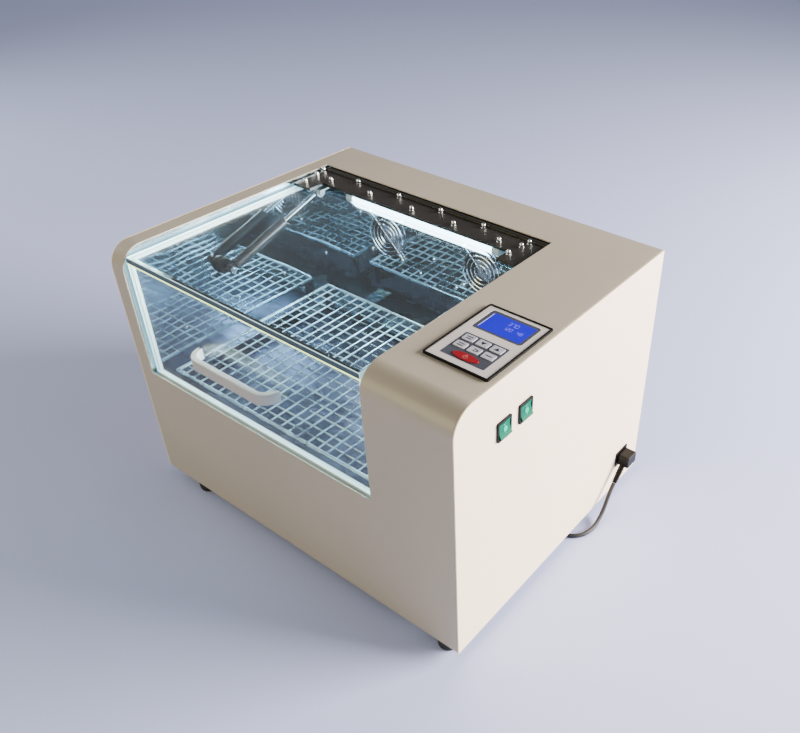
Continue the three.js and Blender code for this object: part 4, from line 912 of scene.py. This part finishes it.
def gas_strut():
    half_eye = Vector((4.5, 0, 0))
    body = [
        bar("strut_body", on_strut(10), on_strut(123), 9, sides=40, soft=1.4),
        bar("strut_collar", on_strut(112), on_strut(123), 9, 7.2, sides=40, soft=0.5),
        bar("strut_neck", on_strut(4), on_strut(11), 4.2, 6.5, sides=28, soft=0.4),
        bar("strut_eye", STRUT_FOOT + half_eye, STRUT_FOOT - half_eye, 7, soft=0.8),
    ]
    dress(joined("strut_body", body), "black_plastic", strut_black, node="strut_cylinder", body="strut_tube")
    rod = [
        bar("strut_stem", on_strut(40), on_strut(STRUT_LONG - 3), 4, soft=0.3),
        bar("strut_head", STRUT_HEAD + half_eye, STRUT_HEAD - half_eye, 5, soft=0.6),
    ]
    dress(joined("strut_stem", rod), "bright_chrome", chrome, node="strut_rod", body="strut_piston")
    x0, y, z = WALL_LEFT + SEAM, STRUT_FOOT.y, STRUT_FOOT.z
    plate = [
        level("bracket_disc", (x0, x0 + 9), y, z, 14, 12.5, sides=40, soft=0.8),
        level("bracket_pin", (x0, STRUT_X + 6.5), y, z, 3.4, sides=24),
    ]
    dress(joined("strut_mount", plate), "black_plastic", black_plastic, node="strut_wall_bracket")
    bolt = [
        level("bolt_head", (STRUT_X + 5, STRUT_X + 8), y, z, 6, sides=6, soft=0.5),
        dome("bolt_dome", (STRUT_X + 7.9, y, z), 3.6, 1.0, (1, 0, 0)),
    ]
    dress(joined("strut_bolt", bolt), "bright_chrome", chrome)
    x0, y, z = STRUT_X + 5, STRUT_HEAD.y, STRUT_HEAD.z
    under = PANE_TOP - PANE_THICK - SEAM
    bracket = [
        slab("bracket_flange", (x0, x0 + 22), around(y, 38), (under - 3, under), 0.8),
        slab("bracket_tab", (x0, x0 + 3), around(y, 18), (z, under), 0.5),
        level("bracket_round", (x0, x0 + 3), y, z, 9, sides=40, soft=0.5),
        level("bracket_bolt", (x0 + 2.5, x0 + 6), y, z, 6, sides=6, soft=0.5),
    ]
    dress(joined("strut_clip", bracket), "cast_metal", cast_metal, node="strut_lid_bracket", body="lid")


lid_panes()
hinge()
bow_handle()
gas_strut()

# Platform

NET_X, NET_Y, NET_TOP = (-279, 155), (-207, 120), 203
NET_BAR, ACROSS, ALONG = 3, 22, 17


def spring(name, start, way, length, radius):
    """A tension spring: one rib, drawn in at its ends, repeated along its length."""
    pitch = 2.4
    bpy.ops.mesh.primitive_cylinder_add(
        vertices=8, radius=radius * MM, depth=pitch * MM, end_fill_type="NOTHING", location=place(*start))
    piece = opened(bpy.context.object)
    bpy.ops.mesh.bisect(plane_co=place(*start), plane_no=(0, 0, 1))
    bpy.ops.mesh.select_all(action="INVERT")
    bpy.ops.transform.resize(value=(0.8, 0.8, 1))
    modify(done(piece), "ARRAY", count=round(length / pitch), use_merge_vertices=True,
           relative_offset_displace=(0, 0, 1))
    opened(piece)
    bpy.ops.mesh.fill_holes(sides=8)
    done(piece).rotation_euler = facing_turn(way)
    return smooth(settled(name), 60)


def net_layer(name, first, axis, span, count, sway, swing):
    """Copies of one spring side by side, a little unevenly."""
    rows = []
    for i in range(1, count):
        shift = [0, 0, 0]
        shift[axis] = span[0] + size(span) * i / count + sway * math.sin(i * swing)
        rows.append(twin(first, shift))
    bpy.data.objects.remove(first)
    dress(joined(name, rows), "polished_steel", spring_steel, body="platform")


def spring_net():
    """Springs hooked over a frame of round bar: those from front to back lie on top."""
    (left, right), (front, back) = grown(NET_X, -NET_BAR), grown(NET_Y, -NET_BAR)
    rows = spring("net_spring", (left, 0, NET_TOP - 4.2), (1, 0, 0), right - left, 1.7)
    net_layer("net_rows", rows, 1, NET_Y, ALONG, 1.6, 2.3)
    columns = spring("net_spring", (0, front, NET_TOP - 2), (0, 1, 0), back - front, 1.9)
    net_layer("net_columns", columns, 0, NET_X, ACROSS, 1.8, 1.7)
    z = NET_TOP - NET_BAR
    corners = [(left, front), (right, front), (right, back), (left, back)]
    bars = [bar("net_bar", (*here, z), (*there, z), NET_BAR, sides=20)
            for here, there in zip(corners, corners[1:] + corners[:1])]
    for x, y in corners:
        bpy.ops.mesh.primitive_uv_sphere_add(
            segments=20, ring_count=12, radius=NET_BAR * MM, location=place(x, y, z))
        bars.append(smooth(settled("net_corner")))
    dress(joined("net_frame", bars), "polished_steel", spring_steel, node="spring_net", body="platform")


spring_net()

# Control panel

PLATE = spans("panel_faceplate")
PLATE_TOP = PLATE[2][1]
SCREEN = spans("lcd_screen")
THROUGH_TOP = TOP - 5, TOP + 10
RIM = 2.6
KEY_FLANGE = 1.2


def flat_print(name, points, z, thick=0.12):
    """A flat mark: an outline filled and given a thin body."""
    bpy.ops.mesh.primitive_circle_add(
        vertices=len(points), radius=MM, fill_type="NGON", location=place(0, 0, 0))
    mark = settled(name)
    for corner, (x, y) in zip(mark.data.vertices, points):
        corner.co = place(x, y, z)
    return modify(mark, "SOLIDIFY", thickness=thick * MM, offset=0)


def key_cap(name, by, up):
    """A key's cap, or with a gap its hole: the CAD key without its flange."""
    across, along, _ = (grown(span, by - KEY_FLANGE) for span in spans(name))
    if name == "power_key":
        return oval("key_cap", across, along, up)
    return round_edges(slab("key_cap", across, along, up), Z_WAY, 1.8, 6)


KEYS = [*(f"key_{i}" for i in range(1, 7)), "power_key"]


def key_holes():
    return [key_cap(name, SEAM, THROUGH_TOP) for name in KEYS]


def panel_plates():
    bezel = slab("panel_rim", PANEL_WIDE, PANEL_LONG, PANEL_HIGH)
    round_edges(bezel, Z_WAY, 3, 6)
    inner = [grown(span, -RIM) for span in (PANEL_WIDE, PANEL_LONG)]
    carved(bezel, [slab("inner", *inner, THROUGH_TOP)])
    soften(bezel, 0.6, 3, 40)
    dress(bezel, "black_plastic", black_plastic, node="panel_bezel")
    plate = slab("panel_face", *(grown(span, -SEAM) for span in inner), PLATE[2])
    window = slab("window", grown(SCREEN[0], SEAM), grown(SCREEN[1], SEAM), THROUGH_TOP)
    round_edges(window, Z_WAY, 5, 5)
    carved(plate, [window, *key_holes()])
    soften(plate, 0.25, 2, 40)
    dress(plate, "face_plastic", face_plastic, node="panel_faceplate")
    across = spans("key_1")[0][0] - 2.2, spans("key_3")[0][1] + 2.2
    along = spans("power_key")[1][0] - 0.6, spans("key_1")[1][1] + 2.2
    field = slab("key_field", across, along, (PLATE_TOP - 0.3, PLATE_TOP + 0.12))
    round_edges(field, Z_WAY, 2, 4)
    carved(field, key_holes())
    dress(smooth(field), "face_plastic", slate_plastic)


def key_marks(number, x, y, z):
    """Plain signs: a bar, arrows down and up, and bars of other lengths."""
    up = [(x - 4, y - 2.8), (x + 4, y - 2.8), (x, y + 3.4)]
    if number == 2:
        return [flat_print("mark", [(px, 2 * y - py) for px, py in reversed(up)], z)]
    if number == 3:
        return [flat_print("mark", up, z)]
    bars = {1: ((5, 2), (4, -2)), 4: ((4.5, 2), (4.5, -2)), 5: ((1.6, 2), (1.6, -2)), 6: ((4.8, 0),)}
    marks = [slab("mark", around(x, half * 2), around(y + off, 1.7), around(z, 0.12))
             for half, off in bars[number]]
    if number == 5:
        marks.append(flat_print("mark", [(x + 2.8, y - 3.2), (x + 6, y), (x + 2.8, y + 3.2)], z))
    return marks


def keys():
    """Caps with broken edges, and a plain sign on each."""
    top = spans("key_1")[2][1] - 0.15
    for number, name in enumerate(KEYS, 1):
        power = name == "power_key"
        key = soften(key_cap(name, 0, (TOP - 1.8, top)), 0.5, 3, 50)
        body = "button_power" if power else f"button_{number}"
        slot = "key_red" if power else "key_grey"
        dress(key, slot, red_plastic if power else key_plastic, node=name, body=body)
        key.name = f"{name}_cap"
        x, y = (middle(span) for span in spans(name)[:2])
        if power:
            sign = ring("sign", (x, y - 0.4, top - 0.45), 3.0, 0.6, (0, 0, 1), 32, 6)
            carved(sign, [slab("gap", around(x, 2.4), (y, y + 6), (top - 2, top + 2))])
            marks = [sign, slab("sign", around(x, 1.2), (y - 0.4, y + 4), (top - 0.1, top + 0.1))]
        else:
            marks = key_marks(number, x, y, top + 0.02)
        mark = joined("marks", marks)
        dress(mark, slot, red_print if power else key_print, body=body)
        mark.name = f"{name}_sign"


SEGMENTS = {"0": "abcdef", "1": "bc", "2": "abged", "3": "abgcd", "4": "fgbc", "7": "abc", "8": "abcdefg"}


def digits(text, x, y, tall, z):
    """Seven-segment figures, from a lower left corner."""
    wide, stroke = tall * 0.52, tall * 0.13
    parts = []
    for sign in text:
        if sign == ".":
            lies = around(x - tall * 0.09, stroke), around(y + stroke / 2, stroke)
            parts.append(slab("dot", *lies, around(z, 0.1)))
            continue
        lines = {"a": (0, tall, 1), "g": (0, tall / 2, 1), "d": (0, 0, 1), "f": (0, tall / 2, 0),
                 "e": (0, 0, 0), "b": (wide, tall / 2, 0), "c": (wide, 0, 0)}
        for key in SEGMENTS[sign]:
            dx, dy, level = lines[key]
            if level:
                lies = (x + stroke * 0.4, x + wide - stroke * 0.4), around(y + dy, stroke)
            else:
                lies = around(x + dx, stroke), (y + dy + stroke * 0.6, y + dy + tall / 2 - stroke * 0.6)
            parts.append(slab("segment", *lies, around(z, 0.1)))
        x += tall * 0.76
    return parts


def screen():
    """A slate window with a lit blue field, a pale edge of light, and plain figures."""
    across, along, up = SCREEN
    rim = slab("screen_rim", across, along, up)
    round_edges(rim, Z_WAY, 5, 5)
    soften(rim, 0.4, 2, 50)
    dress(rim, "screen_blue", slate_plastic, node="lcd_screen")
    lit_x, lit_y = (across[0] + 5.5, across[1] - 4), grown(along, -4.2)
    field = slab("screen_field", lit_x, lit_y, (up[1] - 0.3, up[1] + 0.1))
    round_edges(field, Z_WAY, 2, 4)
    dress(smooth(field), "screen_blue", screen_blue)
    z = up[1] + 0.14
    edge = slab("screen_edge", (lit_x[0] + 0.4, lit_x[0] + 1.5), grown(lit_y, -2), around(z, 0.1))
    dress(edge, "screen_blue", screen_glare)
    x, y = middle(lit_x), middle(lit_y)
    figures = digits("37.0", x - 3, y + 6, 7, z) + digits("120", x - 3, y - 5, 6, z)
    figures += digits("48", x + 17, y - 5, 6, z)
    dress(joined("screen_figures", figures), "screen_blue", screen_digit)


panel_plates()
keys()
screen()

# Rocker switches

ROCKER_X = RIGHT - 4
ROCKER_HALF, ROCKER_PEAK, ROCKER_DIP, ROCKER_LEAN = 11, 8.78, 6, 8


def rocker(side, y, z, wide):
    """A hollow-faced lens with a lit spot and marks, leaning as at rest."""
    deep = ROCKER_X - 6, ROCKER_X + ROCKER_PEAK
    lens = slab("rocker_lens", deep, around(y, wide), around(z, 2 * ROCKER_HALF))
    rise = ROCKER_PEAK - ROCKER_DIP
    radius = (ROCKER_HALF ** 2 + rise ** 2) / (2 * rise)
    reach = ROCKER_X + ROCKER_DIP + radius
    carved(lens, [bar("hollow", (reach, y - 20, z), (reach, y + 20, z), radius, sides=160)])
    soften(lens, 0.7, 3, 40)
    spot = slab("spot", (ROCKER_X + 5.6, ROCKER_X + 6.8), around(y + 1, 7.4), around(z - 1, 7.4))
    round_edges(spot, X_WAY, 3.2, 6)
    marks = [slab("mark", (ROCKER_X + 6.2, ROCKER_X + 6.95), around(y, 0.9), around(z - 7.2, 4)),
             ring("mark", (ROCKER_X + 7.0, y, z + 7), 1.8, 0.35, (1, 0, 0), 28, 6)]
    mark = joined(f"rocker_marks_{side}", marks)
    pivot = place(ROCKER_X, y, z)
    turn = Matrix.Rotation(math.radians(-ROCKER_LEAN), 4, "Y")
    lean = Matrix.Translation(pivot) @ turn @ Matrix.Translation(-pivot)
    for piece in (lens, spot, mark):
        piece.data.transform(lean)
    body = f"switch_{side}"
    dress(lens, "rocker_green", green_lens, node=f"rocker_{side}", body=body)
    dress(smooth(spot), "rocker_green", green_spot, body=body)
    dress(mark, "rocker_green", white_print, body=body)
    lens.name, spot.name = f"rocker_lens_{side}", f"rocker_spot_{side}"


def switch(side, across, along, up):
    """A housing with a raised lip round a deep pocket."""
    face, wall = RIGHT + SEAM, 2.4
    shell = slab("switch_shell", (across[0], face + 1.2), grown(along, -LIP), grown(up, -LIP))
    lip = slab("lip", (face, across[1]), along, up)
    round_edges(lip, X_WAY, 1.5, 4)
    carved(shell, [lip], "UNION")
    carved(shell, [slab("pocket", (across[0] + wall, face + 6), grown(along, -wall), grown(up, -wall))])
    soften(shell, 0.5, 2, 40)
    dress(shell, "black_plastic", black_plastic, node=f"switch_housing_{side}")
    shell.name = f"switch_shell_{side}"
    rocker(side, middle(along), middle(up), size(along) - 2 * wall - 0.8)


for switch_side, switch_spans in SWITCHES.items():
    switch(switch_side, *switch_spans)

# The frame's own nodes that stay in view

for finish_used, names in {
    beige_paint_shaded: ["base_plate"],
    chamber_steel: ["chamber_liner"],
    ledge_steel: ["chamber_mouth"],
    seal_white: ["lid_seal"],
    black_plastic: ["fan_frame_left", "fan_frame_right", "power_inlet"],
    slate_plastic: ["fan_impeller_left", "fan_impeller_right"],
    chrome: ["temperature_probe"],
    cast_metal: ["heater_element", "drive_base", "drive_motor", "motor_pulley", "drive_crank",
                 "idler_crank_left", "idler_crank_right", "idler_crank_front"],
    black_rubber: ["drive_belt"],
    tray_steel: ["platform_tray"],
    board_green: ["control_board"],
}.items():
    for node_name in names:
        coat(cad[node_name], finish_used)

# Floor and light


def area_light(name, spot, way, sides, power, color):
    light = bpy.data.lights.new(name, "AREA")
    light.shape = "RECTANGLE"
    light.size, light.size_y = sides
    light.energy = power
    light.color = color
    lit = shown(name, light)
    lit.location = spot
    lit.rotation_euler = way.to_track_quat("-Z", "Y").to_euler()


def studio():
    bpy.ops.mesh.primitive_plane_add(size=14, location=(0, 0, 0))
    floor = bpy.context.object
    floor.name = "studio_floor"
    ground, _, shader = blank("studio_ground")
    set_sockets(shader, Base_Color=(0.46, 0.52, 0.84, 1), Roughness=0.9)
    floor.data.materials.append(ground)
    world = bpy.data.worlds.new("studio_air")
    world.use_nodes = True
    set_sockets(world.node_tree.nodes["Background"], Color=(0.95, 0.97, 1.0, 1), Strength=0.3)
    bpy.context.scene.world = world
    for name, spot, aim, sides, power, color in (
        ("key_light", (2.3, 1.5, 0.95), (0.3, 0, 0.2), (1.7, 1.4), 480, (1.0, 0.93, 0.84)),
        ("front_light", (-0.9, -2.6, 1.1), (0, 0, 0.2), (1.8, 1.4), 40, (1.0, 0.85, 0.42)),
        ("left_light", (-2.6, -0.4, 1.2), (0, 0, 0.2), (1.4, 1.2), 26, (1.0, 0.96, 0.92)),
    ):
        area_light(name, spot, Vector(aim) - Vector(spot), sides, power, color)
    spot = place((LAMP_LEFT + LAMP_RIGHT) / 2, LAMP_Y - 11, LAMP_Z - 6)
    area_light("chamber_light", spot, Vector((0, -0.75, -0.66)), (0.29, 0.02), 8, (0.60, 0.88, 1.0))


studio()
